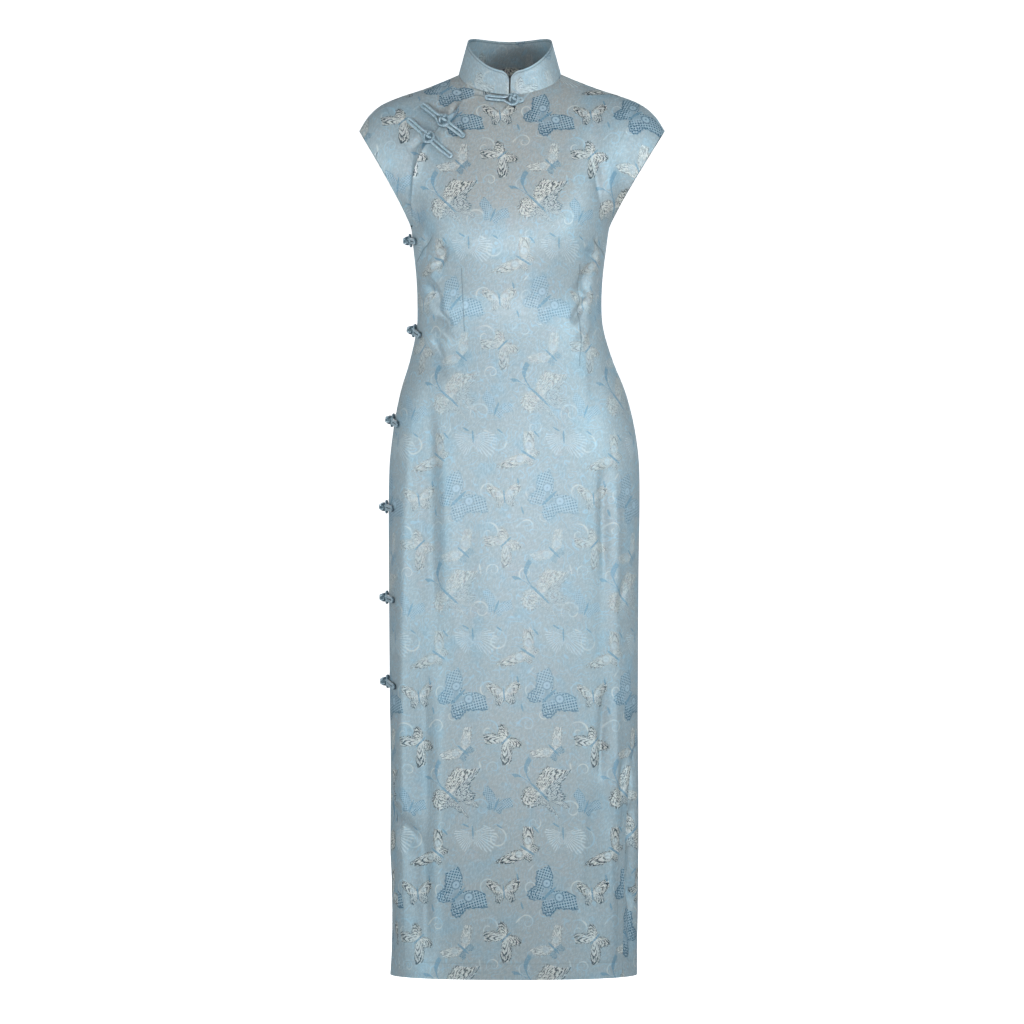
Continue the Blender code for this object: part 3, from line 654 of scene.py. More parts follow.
def add(name, data):
    """Object in the scene for a mesh, curve, light or camera."""
    thing = bpy.data.objects.new(name, data)
    bpy.context.scene.collection.objects.link(thing)
    return thing


def built(thing):
    """Mesh of an object as its modifiers or its bevel make it."""
    graph = bpy.context.evaluated_depsgraph_get()
    return bpy.data.meshes.new_from_object(thing.evaluated_get(graph))


def poured(shape, name):
    """A new mesh filled from a bmesh, which is then freed."""
    mesh = bpy.data.meshes.new(name)
    shape.to_mesh(mesh)
    shape.free()
    return mesh


def write_map(mesh, name, values):
    """Give each vertex's pair of values to its corners, as a named map."""
    corners = np.empty(len(mesh.loops), dtype=np.int32)
    mesh.loops.foreach_get("vertex_index", corners)
    layer = mesh.uv_layers.new(name=name)
    layer.uv.foreach_set("vector", values.reshape(-1, 2)[corners].astype(np.float32).ravel())
    return mesh


def finish_mesh(mesh, angle, material):
    """Smooth shading with sharp edges above an angle, and one material."""
    mesh.shade_smooth()
    mesh.set_sharp_from_angle(angle=math.radians(angle))
    mesh.materials.append(material)


def cloth(name, grid, flat, seams, thickness, material):
    """Thin closed shell from a grid of points on its outer face, seen left to right and top to bottom."""
    rows, columns = grid.shape[:2]
    number = np.arange(rows * columns).reshape(rows, columns)
    quads = np.stack((number[:-1, :-1], number[1:, :-1], number[1:, 1:], number[:-1, 1:]), axis=-1)
    mesh = bpy.data.meshes.new(name)
    mesh.from_pydata(grid.reshape(-1, 3).tolist(), [], quads.reshape(-1, 4).tolist())
    write_map(mesh, "cloth", flat)
    write_map(mesh, "seams", seams)
    shape = bmesh.new()
    shape.from_mesh(mesh)
    bpy.data.meshes.remove(mesh)
    bmesh.ops.remove_doubles(shape, verts=shape.verts, dist=WELD)
    sheet = add(name, poured(shape, name))
    wall = sheet.modifiers.new("wall", "SOLIDIFY")
    wall.thickness = thickness
    wall.offset = -1
    sheet.data = built(sheet)
    sheet.modifiers.clear()
    finish_mesh(sheet.data, CLOTH_SHARP, material)
    return sheet


def body_downs():
    """Panel rows below the armhole level, closer together above the hip."""
    hip = 1 + (HIP_Z - ARMHOLE_Z) / (HEM_Z - ARMHOLE_Z)
    return np.concatenate((np.linspace(1, hip, FITTED_ROWS + 1)[1:], np.linspace(hip, 2, SKIRT_ROWS + 1)[1:]))


def ease(grid, across, down):
    """Round off the ridges that run down the back from the ends of its neckline."""
    share = ramp(down, EASE_TOP) * ramp(down, EASE_BOTTOM) * ramp(np.abs(across), EASE_ACROSS)
    for _ in range(EASE_PASSES):
        bend = grid[:, :-2] + grid[:, 2:] - 2 * grid[:, 1:-1]
        grid[:, 1:-1] += bend / 4 * share[:, 1:-1, None]


def panel_sheet(name, across, down, facing, shift, sleeves, material, lift=0.0):
    """Cloth of a whole panel: its creased surface, its place on the flat cloth and its hems."""
    charts = cloth_chart(facing)
    flat = pairs(*(read_chart(chart, across, down) for chart in charts))
    place = panel_point(across, down, facing)
    seams = dart_lines(FRONT_DARTS if facing < 0 else BACK_DARTS, place, hem_lines(across, down, flat, charts, sleeves))
    grid = creased_point(across, down, facing, lift)
    if facing < 0:
        seams = edge_line(across, down, seams)
    else:
        ease(grid, across, down)
    return cloth(name, grid, flat + shift, seams, WALL, material)


def make_front(material):
    """Front with its right cap sleeve, cut away along the curved opening on the left, its edge softly rolled."""
    across = np.linspace(-1, 1, 2 * HALF_COLUMNS + 1)[None, :]
    share = (np.linspace(0, 1, YOKE_ROWS + 1) ** ROW_CROWDING)[:, None]
    start = opening_down(across)
    yoke = start + (1 - start) * share
    body = np.broadcast_to(body_downs()[:, None], (FITTED_ROWS + SKIRT_ROWS, across.size))
    down = np.concatenate((yoke, body))
    across = np.broadcast_to(across, down.shape)
    roll = EDGE_ROLL * np.exp(-((edge_gap(across, down) / EDGE_WIDTH) ** 2)) * ramp(across, ROLL_ACROSS)
    return panel_sheet("cloth_front", across, down, -1, FRONT_SHIFT, (1,), material, np.where(down <= 1, roll, 0.0))


def make_back(material):
    """Back with both cap sleeves, in one piece."""
    across = np.linspace(1, -1, 2 * HALF_COLUMNS + 1)[None, :]
    down = np.concatenate((np.linspace(0, 1, YOKE_ROWS + 1) ** ROW_CROWDING, body_downs()))[:, None]
    across, down = np.broadcast_arrays(across, down)
    return panel_sheet("cloth_back", across, down, 1, BACK_SHIFT, (-1, 1), material)


def make_front_under(material):
    """Left shoulder, cap sleeve and underlap, beneath the front."""
    across = np.linspace(-1, 0, HALF_COLUMNS + 1)[None, :]
    share = (np.linspace(0, 1, UNDER_ROWS + 1) ** ROW_CROWDING)[:, None]
    length = np.linalg.norm(panel_point(across, 0.0, -1) - panel_point(across, 1.0, -1), axis=-1)
    down = share * np.minimum(opening_down(across) + UNDERLAP / length, UNDERLAP_END)
    across = np.broadcast_to(across, down.shape)
    part_way = down / np.maximum(opening_down(across), LEAST_DOWN)
    sunk = (WALL + UNDERLAP_GAP) * np.maximum(ramp(across, SINK_ACROSS), ramp(part_way, SINK_SHARE))
    sunk = sunk * ramp(across, SINK_SIDE)
    return panel_sheet("cloth_front_under", across, down, -1, UNDER_SHIFT, (-1,), material, -sunk)


def make_collar(material):
    """Stand collar, one band from the middle of the front round the neck and back."""
    gap = math.degrees(COLLAR_OPENING / 2 / NECK_HALF_WIDTH)
    reach = 180 - gap
    even = np.linspace(-1, 1, COLLAR_COLUMNS + 1)
    turn = reach * np.sign(even) * (1 - (1 - np.abs(even)) ** COLLAR_CROWDING)
    up = np.linspace(1, 0, COLLAR_ROWS + 1)[:, None]
    turn = turn[None, :]
    base = ring_point(NECKLINE, turn) + points(0.0, 0.0, COLLAR_LIFT)
    top = ring_point(COLLAR_TOP, turn)
    height = np.linalg.norm(top - base, axis=-1)
    length_left = np.radians(reach - np.abs(turn)) * NECK_HALF_WIDTH
    short = np.maximum(COLLAR_CORNER - length_left, 0.0)
    drop = COLLAR_CORNER - np.sqrt(COLLAR_CORNER**2 - short**2)
    share = (up * (1 - drop / height))[..., None]
    grid = base * (1 - share) + top * share
    flat = pairs(np.radians(turn) * NECK_HALF_WIDTH, up * height)
    top_seam = pairs(flat[..., 0], (1 - up) * height - COLLAR_STITCH)
    return cloth("cloth_collar", grid, flat + COLLAR_SHIFT, top_seam, COLLAR_WALL, material)


def locate(x, z):
    """Panel coordinates of the front at places seen from the front, above the armhole level."""
    left = np.where(x < NECK_SWAY, -1.0, 0.0)
    right = left + 1

    def down_at(across):
        high, low = np.zeros(across.shape), np.ones(across.shape)
        for _ in range(HALVINGS):
            middle = (high + low) / 2
            above = panel_point(across, middle, -1)[..., 2] > z
            high, low = np.where(above, middle, high), np.where(above, low, middle)
        return (high + low) / 2

    for _ in range(HALVINGS):
        across = (left + right) / 2
        beyond = panel_point(across, down_at(across), -1)[..., 0] > x
        left, right = np.where(beyond, left, across), np.where(beyond, across, right)
    return across, down_at(across)


def chest_place(frog):
    """Lays a frog on the front's yoke, along a slope seen from the front."""
    slope = math.radians(frog.slope)

    def place(along, aside, lift):
        x = frog.x + along * math.cos(slope) - aside * math.sin(slope)
        z = frog.z + along * math.sin(slope) + aside * math.cos(slope)
        return creased_point(*locate(x, z), -1, lift)

    return place


def side_place(frog):
    """Lays a frog across the left side opening, toward the front and gently down."""

    def place(along, aside, lift):
        z = frog.z + aside - frog.fall * along
        down = 1 + (z - ARMHOLE_Z) / (HEM_Z - ARMHOLE_Z)
        seam = seam_angle(-1.0, z)
        turn = np.degrees(along / section("half", z))
        front = creased_point(np.minimum(turn / seam - 1, 0.0), down, -1, lift)
        back = creased_point(np.minimum(-turn / (180 - seam) - 1, 0.0), down, 1, lift)
        return np.where((turn >= 0)[..., None], front, back)

    return place


def strand_path(leg):
    """Flat path of the button's doubled cord: out along one strand, round its fold and back."""
    run = np.linspace(0.0, leg - STRAND, LEG_STEPS)
    fold = np.radians(np.linspace(90, -90, FOLD_STEPS))
    along = np.concatenate((run, leg - STRAND + STRAND * np.cos(fold)[1:-1], run[::-1]))
    wave = STRAND_BULGE * np.sin(run / leg * math.pi)
    aside = np.concatenate((STRAND + wave, STRAND * np.sin(fold)[1:-1], -STRAND - wave[::-1]))
    return along, aside, np.full(along.shape, CORD_REST)


def loop_path(leg):
    """Flat path of a loop: in along one strand, round the button's neck, out and round its folded end."""
    run = np.linspace(-leg + STRAND, -EYE_RADIUS - EYE_MOUTH, LEG_STEPS)
    eye = np.radians(np.linspace(-EYE_TURN, EYE_TURN, 4 * FOLD_STEPS))
    fold = np.radians(np.linspace(90, 180, FOLD_STEPS))[1:]
    ends = -leg + STRAND + STRAND * np.cos(fold)
    along = np.concatenate((ends[::-1], run, EYE_RADIUS * np.cos(eye), run[::-1], ends))
    tail = STRAND * np.sin(fold)
    strand = np.full(run.shape, STRAND)
    aside = np.concatenate((-tail[::-1], -strand, EYE_RADIUS * np.sin(eye), strand, tail))
    share = np.clip(along / EYE_RADIUS, -1.0, 1.0)
    return along, aside, CORD_REST + (EYE_LIFT - CORD_REST) * ((1 + share) / 2) ** 2


def knot_path(centre, out):
    """Woven ball of a knotted button: a cord that passes over and under itself round a sphere."""
    turn = np.linspace(0, 2 * math.pi * KNOT_LEADS, KNOT_STEPS, endpoint=False)
    sway = np.radians(KNOT_TILT) * np.cos(turn * KNOT_BIGHTS / KNOT_LEADS)
    radius = KNOT_RADIUS + KNOT_WEAVE * np.sin(2 * turn * KNOT_BIGHTS / KNOT_LEADS)
    flat = points(np.cos(sway) * np.cos(turn), np.cos(sway) * np.sin(turn), np.sin(sway)) * radius[:, None]
    frame_turn = np.array(Vector(out).to_track_quat("Z", "Y").to_matrix())
    return flat @ frame_turn.T + centre


def tube(name, path, radius, cyclic=False):
    """Round silk tube along a path, with rounded ends where it isn't a ring."""
    curve = bpy.data.curves.new(name, "CURVE")
    curve.dimensions = "3D"
    curve.bevel_depth = radius
    curve.bevel_resolution = 4
    curve.use_fill_caps = not cyclic
    spline = curve.splines.new("POLY")
    spline.points.add(len(path) - 1)
    spline.use_cyclic_u = cyclic
    for point, place in zip(spline.points, path):
        point.co = (*place, 1.0)
    guide = add(name, curve)
    mesh = built(guide)
    bpy.data.objects.remove(guide, do_unlink=True)
    return mesh


def vertex_places(mesh):
    """Places of a mesh's vertices."""
    place = np.empty(len(mesh.vertices) * 3)
    mesh.vertices.foreach_get("co", place)
    return place.reshape(-1, 3)


def cord(name, path, out):
    """Sewn cord along a path, marked with the run along it and how far each place lies toward its crown; its material
    paints shade on the places that lie low.
    """
    mesh = tube(name, path, CORD_RADIUS)
    place = vertex_places(mesh)
    near = np.argmin(((place[:, None, :] - path[None, :, :]) ** 2).sum(-1), axis=1)
    crown = (place - path[near]) @ out / CORD_RADIUS
    run = np.concatenate(([0.0], np.cumsum(np.linalg.norm(np.diff(path, axis=0), axis=-1))))[near]
    return write_map(mesh, "cord", pairs(run, crown))


def ball_map(mesh, centre):
    """Mark how far each place of a woven ball stands from its middle; its material paints shade on the deep places."""
    off = vertex_places(mesh) - centre
    deep = np.linalg.norm(off, axis=-1) - KNOT_CORE
    crown = BALL_SHADE + deep / (KNOT_RADIUS + KNOT_WEAVE + KNOT_CORD - KNOT_CORE)
    return write_map(mesh, "cord", pairs(np.arctan2(off[:, 1], off[:, 0]) * KNOT_RADIUS, crown))


def join_meshes(name, meshes, material):
    """One object from several meshes, its loose seams welded."""
    shape = bmesh.new()
    for mesh in meshes:
        shape.from_mesh(mesh)
    bmesh.ops.remove_doubles(shape, verts=shape.verts, dist=CORD_WELD)
    bmesh.ops.recalc_face_normals(shape, faces=shape.faces)
    thing = add(name, poured(shape, name))
    finish_mesh(thing.data, CORD_SHARP, material)
    return thing


def core(name, centre, foot):
    """Filling of a knotted button and the stalk that it stands on."""
    shape = bmesh.new()
    bmesh.ops.create_uvsphere(shape, u_segments=KNOT_FACES[0], v_segments=KNOT_FACES[1], radius=KNOT_CORE)
    bmesh.ops.translate(shape, verts=shape.verts, vec=centre)
    stalk = tube(name, np.linspace(foot, centre, STALK_STEPS), STRAND)
    return [ball_map(mesh, centre) for mesh in (poured(shape, name), stalk)]


def stand_for(piece, node):
    """Attach a piece to the root, and hide the imported node that it stands in for."""
    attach(piece, "root")
    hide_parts(node)


def make_frog(name, place, leg, loop_leg, material):
    """Knotted button and its loop over the two nodes that they stand for."""
    zero = np.zeros(1)
    foot = place(zero, zero, zero + CORD_REST)[0]
    centre = place(zero, zero, zero + BALL_LIFT)[0]
    out = (centre - foot) / np.linalg.norm(centre - foot)
    strands = cord(name, place(*strand_path(leg)), out)
    ball = ball_map(tube(name, knot_path(centre, out), KNOT_CORD, cyclic=True), centre)
    knot = join_meshes(f"frog_knot_{name}", [strands, ball, *core(name, centre, foot)], material)
    loop = join_meshes(f"frog_loop_{name}", [cord(name, place(*loop_path(loop_leg)), out)], material)
    stand_for(knot, f"knot_{name}")
    stand_for(loop, f"loop_{name}")


def new_node(term, kind):
    """Node beside a term's own, in the same tree."""
    return term.socket.id_data.nodes.new(f"ShaderNode{kind}")


def plug(slot, value):
    """Link a term to a socket, or set the socket to a constant."""
    if isinstance(value, Term):
        slot.id_data.links.new(value.socket, slot)
    elif isinstance(value, tuple) and slot.type == "RGBA":
        slot.default_value = (*value, 1.0)
    else:
        slot.default_value = value


class Term:
    """A shader socket that reads like a number in a sum, so that patterns are written as formulas."""

    def __init__(self, socket):
        self.socket = socket

    def made(self, kind, operation, *values):
        """Node of a kind of maths, set up with its operation and values."""
        node = new_node(self, kind)
        node.operation = operation
        for slot, value in zip(node.inputs, values):
            plug(slot, value)
        return node

    def do(self, operation, *others):
        """Result of a maths node on this and other terms."""
        return Term(self.made("Math", operation, self, *others).outputs[0])

    def vector(self, operation, *others):
        """Result of a vector maths node on this and other vectors: a number for a length, else a vector."""
        outputs = self.made("VectorMath", operation, self, *others).outputs
        return Term(outputs["Value" if operation == "LENGTH" else "Vector"])

    # Formulas write the larger of two as |, and the smaller as &
    __add__ = partialmethod(do, "ADD")
    __sub__ = partialmethod(do, "SUBTRACT")
    __mul__ = partialmethod(do, "MULTIPLY")
    __truediv__ = partialmethod(do, "DIVIDE")
    __lt__ = partialmethod(do, "LESS_THAN")
    __gt__ = partialmethod(do, "GREATER_THAN")
    __or__ = partialmethod(do, "MAXIMUM")
    __and__ = partialmethod(do, "MINIMUM")
    __abs__ = partialmethod(do, "ABSOLUTE")
    root = partialmethod(do, "SQRT")

    def wave(self):
        """Distance to the nearest whole number."""
        return self.do("PINGPONG", 0.5)

    def flip(self):
        """One less this."""
        return Term(self.made("Math", "SUBTRACT", 1.0, self).outputs[0])

    def step(self, low, high):
        """0 below low and 1 above high, with a soft edge between them."""
        node = new_node(self, "MapRange")
        node.interpolation_type = "SMOOTHSTEP"
        for label, value in (("Value", self), ("From Min", low), ("From Max", high)):
            plug(node.inputs[label], value)
        return Term(node.outputs["Result"])

    def parts(self):
        """The three parts of a vector."""
        node = new_node(self, "SeparateXYZ")
        plug(node.inputs[0], self)
        return [Term(socket) for socket in node.outputs]

    def curve(self, rows):
        """Height of a drawn curve at this value."""
        node = new_node(self, "FloatCurve")
        line = node.mapping.curves[0]
        line.points[0].location = rows[0]
        line.points[-1].location = rows[-1]
        for row in rows[1:-1]:
            line.points.new(*row)
        for point in line.points:
            point.handle_type = "VECTOR"
        node.mapping.update()
        plug(node.inputs["Value"], self)
        return Term(node.outputs[0])


def mix(share, start, end, kind="FLOAT"):
    """Mix of two numbers, vectors or colours."""
    node = new_node(share, "Mix")
    node.data_type = kind
    first, second, result = MIX_SOCKETS[kind]
    for number, value in ((0, share), (first, start), (second, end)):
        plug(node.inputs[number], value)
    return Term(node.outputs[result])


def dye(share, start, end):
    """Mix of two colours."""
    return mix(share, start, end, "RGBA")


def noise(at, scale, detail=2.0):
    """Cloudy value round one half."""
    node = new_node(at, "TexNoise")
    plug(node.inputs["Vector"], at)
    settle(node, {"Scale": scale, "Detail": detail})
    return Term(node.outputs["Fac"])


def joined(x, y):
    """Vector of two terms."""
    node = new_node(x, "CombineXYZ")
    plug(node.inputs["X"], x)
    plug(node.inputs["Y"], y)
    return Term(node.outputs[0])


def turned(at, angle):
    """A flat place turned about the origin, by an angle in radians."""
    node = new_node(at, "VectorRotate")
    node.rotation_type = "Z_AXIS"
    plug(node.inputs["Vector"], at)
    plug(node.inputs["Angle"], angle)
    return Term(node.outputs[0])


def around(place, item):
    """Offset of a place from the nearest copy of a woven thing."""
    wide, tall = REPEAT
    corner = (item.x + MOTIF_START[0] - wide / 2, item.y + MOTIF_START[1] - tall / 2, 0.0)
    offset = place.vector("SUBTRACT", corner).vector("WRAP", (wide, tall, 1.0), (0.0, 0.0, 0.0))
    return offset.vector("SUBTRACT", (wide / 2, tall / 2, 0.0))


def nearest(things):
    """The distance and settings of the nearest of several things, each a list that starts with its distance."""
    best, *others = things
    for thing in others:
        closer = thing[0] < best[0]
        settings = [mix(closer, before, value, "VECTOR") for before, value in zip(best[1:], thing[1:])]
        best = [thing[0] & best[0], *settings]
    return best


def motif_at(place, motif):
    """How far a place is from a motif, its place within it in the motif's own half spans, and the motif's settings."""
    local = around(place, motif).vector("MULTIPLY", (1 / motif.half, 1 / motif.half, 0.0))
    return [
        local.vector("LENGTH"),
        turned(local, -math.radians(motif.turn)),
        tuple(float(motif.wing == wing) for wing in ("spread", "vee", "fan")),
        (FILLS.index(motif.fill) / (len(FILLS) - 1), motif.cream, motif.hind),
        (motif.depth, motif.spots, float(motif.feelers)),
        (motif.squeeze, float(motif.wing == "broad"), 0.0),
    ]


def draw_butterfly(local, shape, fill, look, form):
    """Masks of a woven butterfly: its filled cloth, light and dark threads, blue body, and how creamy it is.

    Places are in the motif's half spans; turn runs from 0, straight down, to 1, straight up, and share from 0 at
    the root of the wing to 1 at its edge.
    """
    spread, vee, fan = shape.parts()
    kind, cream, hind = fill.parts()
    depth, spots, feelers = look.parts()
    squeeze, broad, _ = form.parts()
    x, y, _ = local.parts()
    across = abs(x) / mix(x < 0.0, 1.0, squeeze)
    reach = (across * across + y * y).root()
    turn = y.do("ARCTAN2", across) / math.pi + 0.5
    swept = (spread + vee + fan + broad).flip()
    edge = turn.curve(WINGS["spread"]) * spread + turn.curve(WINGS["vee"]) * vee
    edge = edge + turn.curve(WINGS["fan"]) * fan + turn.curve(WINGS["swept"]) * swept
    edge = edge + turn.curve(WINGS["broad"]) * broad
    edge = edge - abs((turn * (SCALLOPS * math.pi)).do("SINE")) * 0.03
    frayed = noise(joined(across * 9.0, y * 9.0), 1.0)
    share = reach / edge + (frayed - 0.5) * 0.16
    wing = share.step(1.04, 0.94)
    broken = (turn * 40.0 + share * 3.0).wave().step(0.12, 0.26)
    rim = share.step(0.86, 0.93) * share.step(1.05, 1.0)

    # Which weave fills the wing
    is_ribs = kind.step(0.25, 0.28) * kind.step(0.42, 0.38)
    is_bands = kind.step(0.55, 0.6) * kind.step(0.75, 0.72)
    is_specks = kind.step(0.85, 0.9)
    is_net = kind.step(0.12, 0.1)

    # The weaves: net, ribs, bands with rows of dots, and specks
    rise, fall = across * 14.0 - y * 8.0, y * 14.0 + across * 8.0
    lattice = rise.wave() & fall.wave()
    net = lattice.step(0.16, 0.07) * share.step(0.22, 0.34) * 0.9
    rays = (turn * 21.0).wave()
    ribs = rays.step(0.26, 0.16) * share.step(0.1, 0.22)
    ladder = (share * 4.6 + turn * 9.0).wave()
    bands = ladder.step(0.25, 0.16) * share.step(0.2, 0.3) * (turn * 5.0 + 0.25).wave().step(0.05, 0.16)
    scales = joined(turn * 30.0, share * 9.0)
    squiggle = noise(scales, 1.5, 1.0)
    specks = squiggle.step(0.5, 0.56) * share.step(0.1, 0.22)
    scallop = (share * 5.0).wave().step(0.16, 0.06) * turn.step(0.5, 0.46) * share.step(0.5, 0.6)
    inked = lattice.step(0.17, 0.27) * share.step(0.3, 0.5) | scallop
    dots = (turn * 34.0).wave().step(0.3, 0.18)
    dotted = dots * share.step(0.55, 0.6) * (share * 9.0).wave().step(0.34, 0.22)

    # The wing's round spot, then the body and the feelers
    eye_x, eye_y = across - 0.22, y - 0.15
    eye = (eye_x * eye_x + eye_y * eye_y).root()
    ring = eye.step(0.125, 0.1) * eye.step(0.075, 0.095)
    pupil = (ring * 0.7 | eye.step(0.035, 0.015) * 0.5) * spots
    spot = eye.step(0.12, 0.1) * spots

    body_y = (y - 0.02) / 0.24
    body = (across * across * 900.0 + body_y * body_y).step(1.15, 0.85)
    feeler_x, feeler_y = across - 0.34, y - 0.24
    bow = abs((feeler_x * feeler_x + feeler_y * feeler_y).root() - 0.32)
    club = y.step(0.4, 0.54) * 0.036 + 0.012
    feeler = (bow / club).step(1.1, 0.8) * y.step(0.22, 0.28) * across.step(0.34, 0.3) * feelers
    slim = body | feeler

    drawn = (bands + dotted) * is_bands + specks * is_specks + inked * is_net
    edging = rim * (broken | is_net * 0.8) * is_ribs.flip()
    dark = (drawn * spot.flip() | pupil | edging) * wing * depth
    pale_rim = rim * broken.flip() * is_ribs.flip() * 0.8
    light = (net * is_net | spot * 0.85 | pale_rim) * pupil.flip()
    light = (light | ribs * is_ribs * 0.55) * wing
    filled = wing * (is_ribs.flip() + is_ribs * ribs) * mix(is_net, 1.0, 0.6)
    return filled, light, dark, slim, mix(turn.step(0.46, 0.48), hind, cream)


def scroll_at(place, scroll):
    """How far a place is from a scroll in the scroll's own radii, and its place within it."""
    local = around(place, scroll).vector("MULTIPLY", (1 / scroll.size, 1 / scroll.size, 0.0))
    local = turned(local, math.radians(scroll.turn))
    return [local.vector("LENGTH"), local]


def draw_scrolls(place):
    """Pale scrolls between the motifs."""
    far, local = nearest([scroll_at(place, scroll) for scroll in SCROLLS])
    x, y, _ = local.parts()
    turn = y.do("ARCTAN2", x) / (2 * math.pi)
    line = ((far * 1.45 - turn).wave() / (far * 0.09 + 0.05)).step(1.2, 0.6)
    return line * far.step(0.98, 0.86) * far.step(0.1, 0.2)


def draw_strokes(place, blue):
    """Mask of the short strokes between the motifs, the blue or the pale ones."""
    mask = None
    for stroke in STROKES:
        if stroke.blue == blue:
            local = turned(around(place, stroke), -math.radians(stroke.turn))
            local = local.vector("MULTIPLY", (1 / stroke.width, 2 / stroke.length, 0.0))
            spot = local.vector("LENGTH").step(1.15, 0.8)
            mask = spot | mask if mask else spot
    return mask


def new_material(name):
    """Material and its shader."""
    material = bpy.data.materials.new(name)
    material.use_nodes = True
    return material, material.node_tree.nodes["Principled BSDF"]


def settle(node, values):
    """Set sockets of a node to constants."""
    for label, value in values.items():
        node.inputs[label].default_value = value


def map_place(shader, name):
    """Place on a named map."""
    node = shader.id_data.nodes.new("ShaderNodeUVMap")
    node.uv_map = name
    return Term(node.outputs["UV"])


def emboss(shader, height, strength, distance):
    """Raise the surface's fine relief."""
    node = new_node(height, "Bump")
    settle(node, {"Strength": strength, "Distance": distance})
    plug(node.inputs["Height"], height)
    plug(shader.inputs["Normal"], Term(node.outputs["Normal"]))


def jacquard(name, sheen, contrast, paints_sheen):
    """Silk satin jacquard: soft grey-blue ground, woven butterflies and scrolls, the lines of its hems with painted
    shade in their grooves, and a painted sheen band.
    """
    material, shader = new_material(name)
    place = map_place(shader, "cloth")
    run, past, _ = map_place(shader, "seams").parts()

    # Unevenness of the ground, and painted sheen: the ground painted warm grey, with fewer blue clouds, where unlit,
    # and the weave faded in the band of sheen
    wander = noise(place, WANDER)
    drawn_at = place.vector("SNAP", (THREAD_PITCH, THREAD_PITCH, 1.0))
    clouds = noise(place, CLOUDS, 3.0)
    tint = noise(place.vector("ADD", TINT_SHIFT), TINTS)
    slub = noise(place.vector("MULTIPLY", SLUB_STRETCH), SLUBS)
    twill = noise(turned(place, TWILL_TURN).vector("MULTIPLY", TWILL_STRETCH), TWILL, 1.0)
    grain = noise(drawn_at, GRAIN, 1.0).step(0.36, 0.6)
    aside, down, _ = place.parts()
    painted_unlit = (down.step(*PAINTED_UNLIT_CHEST) | down.step(*PAINTED_UNLIT_HEM) * 0.5) * paints_sheen * abs(aside).step(*PAINTED_UNLIT_SIDE)
    beyond_painted_sheen = (down.step(*PAINTED_SHEEN_TOP) * down.step(*PAINTED_SHEEN_BOTTOM) * paints_sheen).flip()
    base = dye(painted_unlit, GROUND, GROUND_PAINTED_UNLIT)
    ground = dye(clouds.step(0.5, 0.66) * (painted_unlit * -0.35 + 0.62), base, GROUND_BLUE)
    ground = dye(tint.step(0.58, 0.72) * 0.55, ground, GROUND_ROSE)
    ground = dye((slub * 0.6 + twill * 0.4).step(0.49, 0.62) * 0.34, ground, THREAD_BLUE)
    ground = dye((slub * 0.5 + twill * 0.5).step(0.51, 0.38) * 0.42, ground, THREAD_PALE)

    # Veins, scrolls and strokes between the motifs; in the painted sheen band the veins are stronger and the scrolls
    # fainter
    veins = (noise(drawn_at, VEINS, 1.0) * 11.0).wave().step(0.14, 0.04)
    ground = dye(veins * wander.step(0.4, 0.56) * (beyond_painted_sheen * -0.2 + 0.7), ground, THREAD_LIGHT)
    scroll = draw_scrolls(drawn_at)
    pale, navy = draw_strokes(drawn_at, 0.0), draw_strokes(drawn_at, 1.0)
    faint = dye(tint.step(0.4, 0.6), THREAD_LIGHT, THREAD_CREAM)
    ground = dye((scroll | pale) * (wander * 0.6 + beyond_painted_sheen * 0.16 + 0.2) * contrast, ground, faint)

    # Butterflies: faded in the painted sheen band, with bolder dark threads and whiter cream threads above and below it
    filled, light, dark, slim, cream = draw_butterfly(*nearest([motif_at(drawn_at, motif) for motif in MOTIFS])[1:])
    worn = noise(drawn_at, WEAR, 1.0).step(0.34, 0.52) * 0.35 + 0.65
    slim = (slim | navy) * worn * contrast
    filled, light, dark = filled * contrast, light * worn * contrast, dark * worn * contrast
    blush = noise(place, BLUSH, 1.0).step(0.5, 0.62)
    creamy = dye(blush * 0.7, THREAD_CREAM, THREAD_ROSE)
    creamy = dye(beyond_painted_sheen * 0.6, creamy, THREAD_WHITE)
    blue = dye(noise(place, BLUES, 1.0).step(0.4, 0.7) * 0.5, THREAD_BLUE, THREAD_LIGHT)
    colour = dye(cream, blue, creamy)
    thin = noise(place, THIN).step(0.36, 0.62)
    cover = grain * 0.32 + thin * 0.3 + beyond_painted_sheen * 0.22 + 0.14
    woven = dye(filled * cover, ground, colour)
    woven = dye(light * 0.8, woven, THREAD_PALE)
    ink = dye(cream, THREAD_INK, THREAD_DARK)
    woven = dye(dark * (grain * 0.28 + beyond_painted_sheen * 0.46 + 0.22), woven, ink)
    woven = dye(slim * (grain * 0.3 + 0.6), woven, THREAD_BLUE)
    motif = filled | slim | scroll * 0.5
    lustre = dark | slim * 0.7 | filled * cream.flip() * 0.6

    # Stitches, and the grooves that they pull: a dent in the relief and painted shade in the colour, strong along
    # darts, the opening edge and the collar's stitching, faint along hems and side seams
    stitch = (abs(past) / STITCH_WIDTH).step(1.2, 0.6) * (run / STITCH_PITCH).do("FRACT").step(0.55, 0.45)
    groove_dent_and_shade = (abs(past) / GROOVE_WIDTH).step(1.0, 0.0)
    strength = mix(run > FAINT_SEAM / 2, HEM_SHADE, SEAM_FADE)
    woven = dye(groove_dent_and_shade * strength + stitch * STITCH_SHADE, woven, SEAM_SHADE)
    plug(shader.inputs["Base Color"], woven)

    plug(shader.inputs["Roughness"], mix(motif, SILK_ROUGH, MOTIF_ROUGH) + (slub - 0.5) * 0.08)
    plug(shader.inputs["Metallic"], lustre * light.flip() * 0.35 | dark * beyond_painted_sheen * 0.85)
    settle(shader, {**SILK_FINISH, "Sheen Weight": sheen})

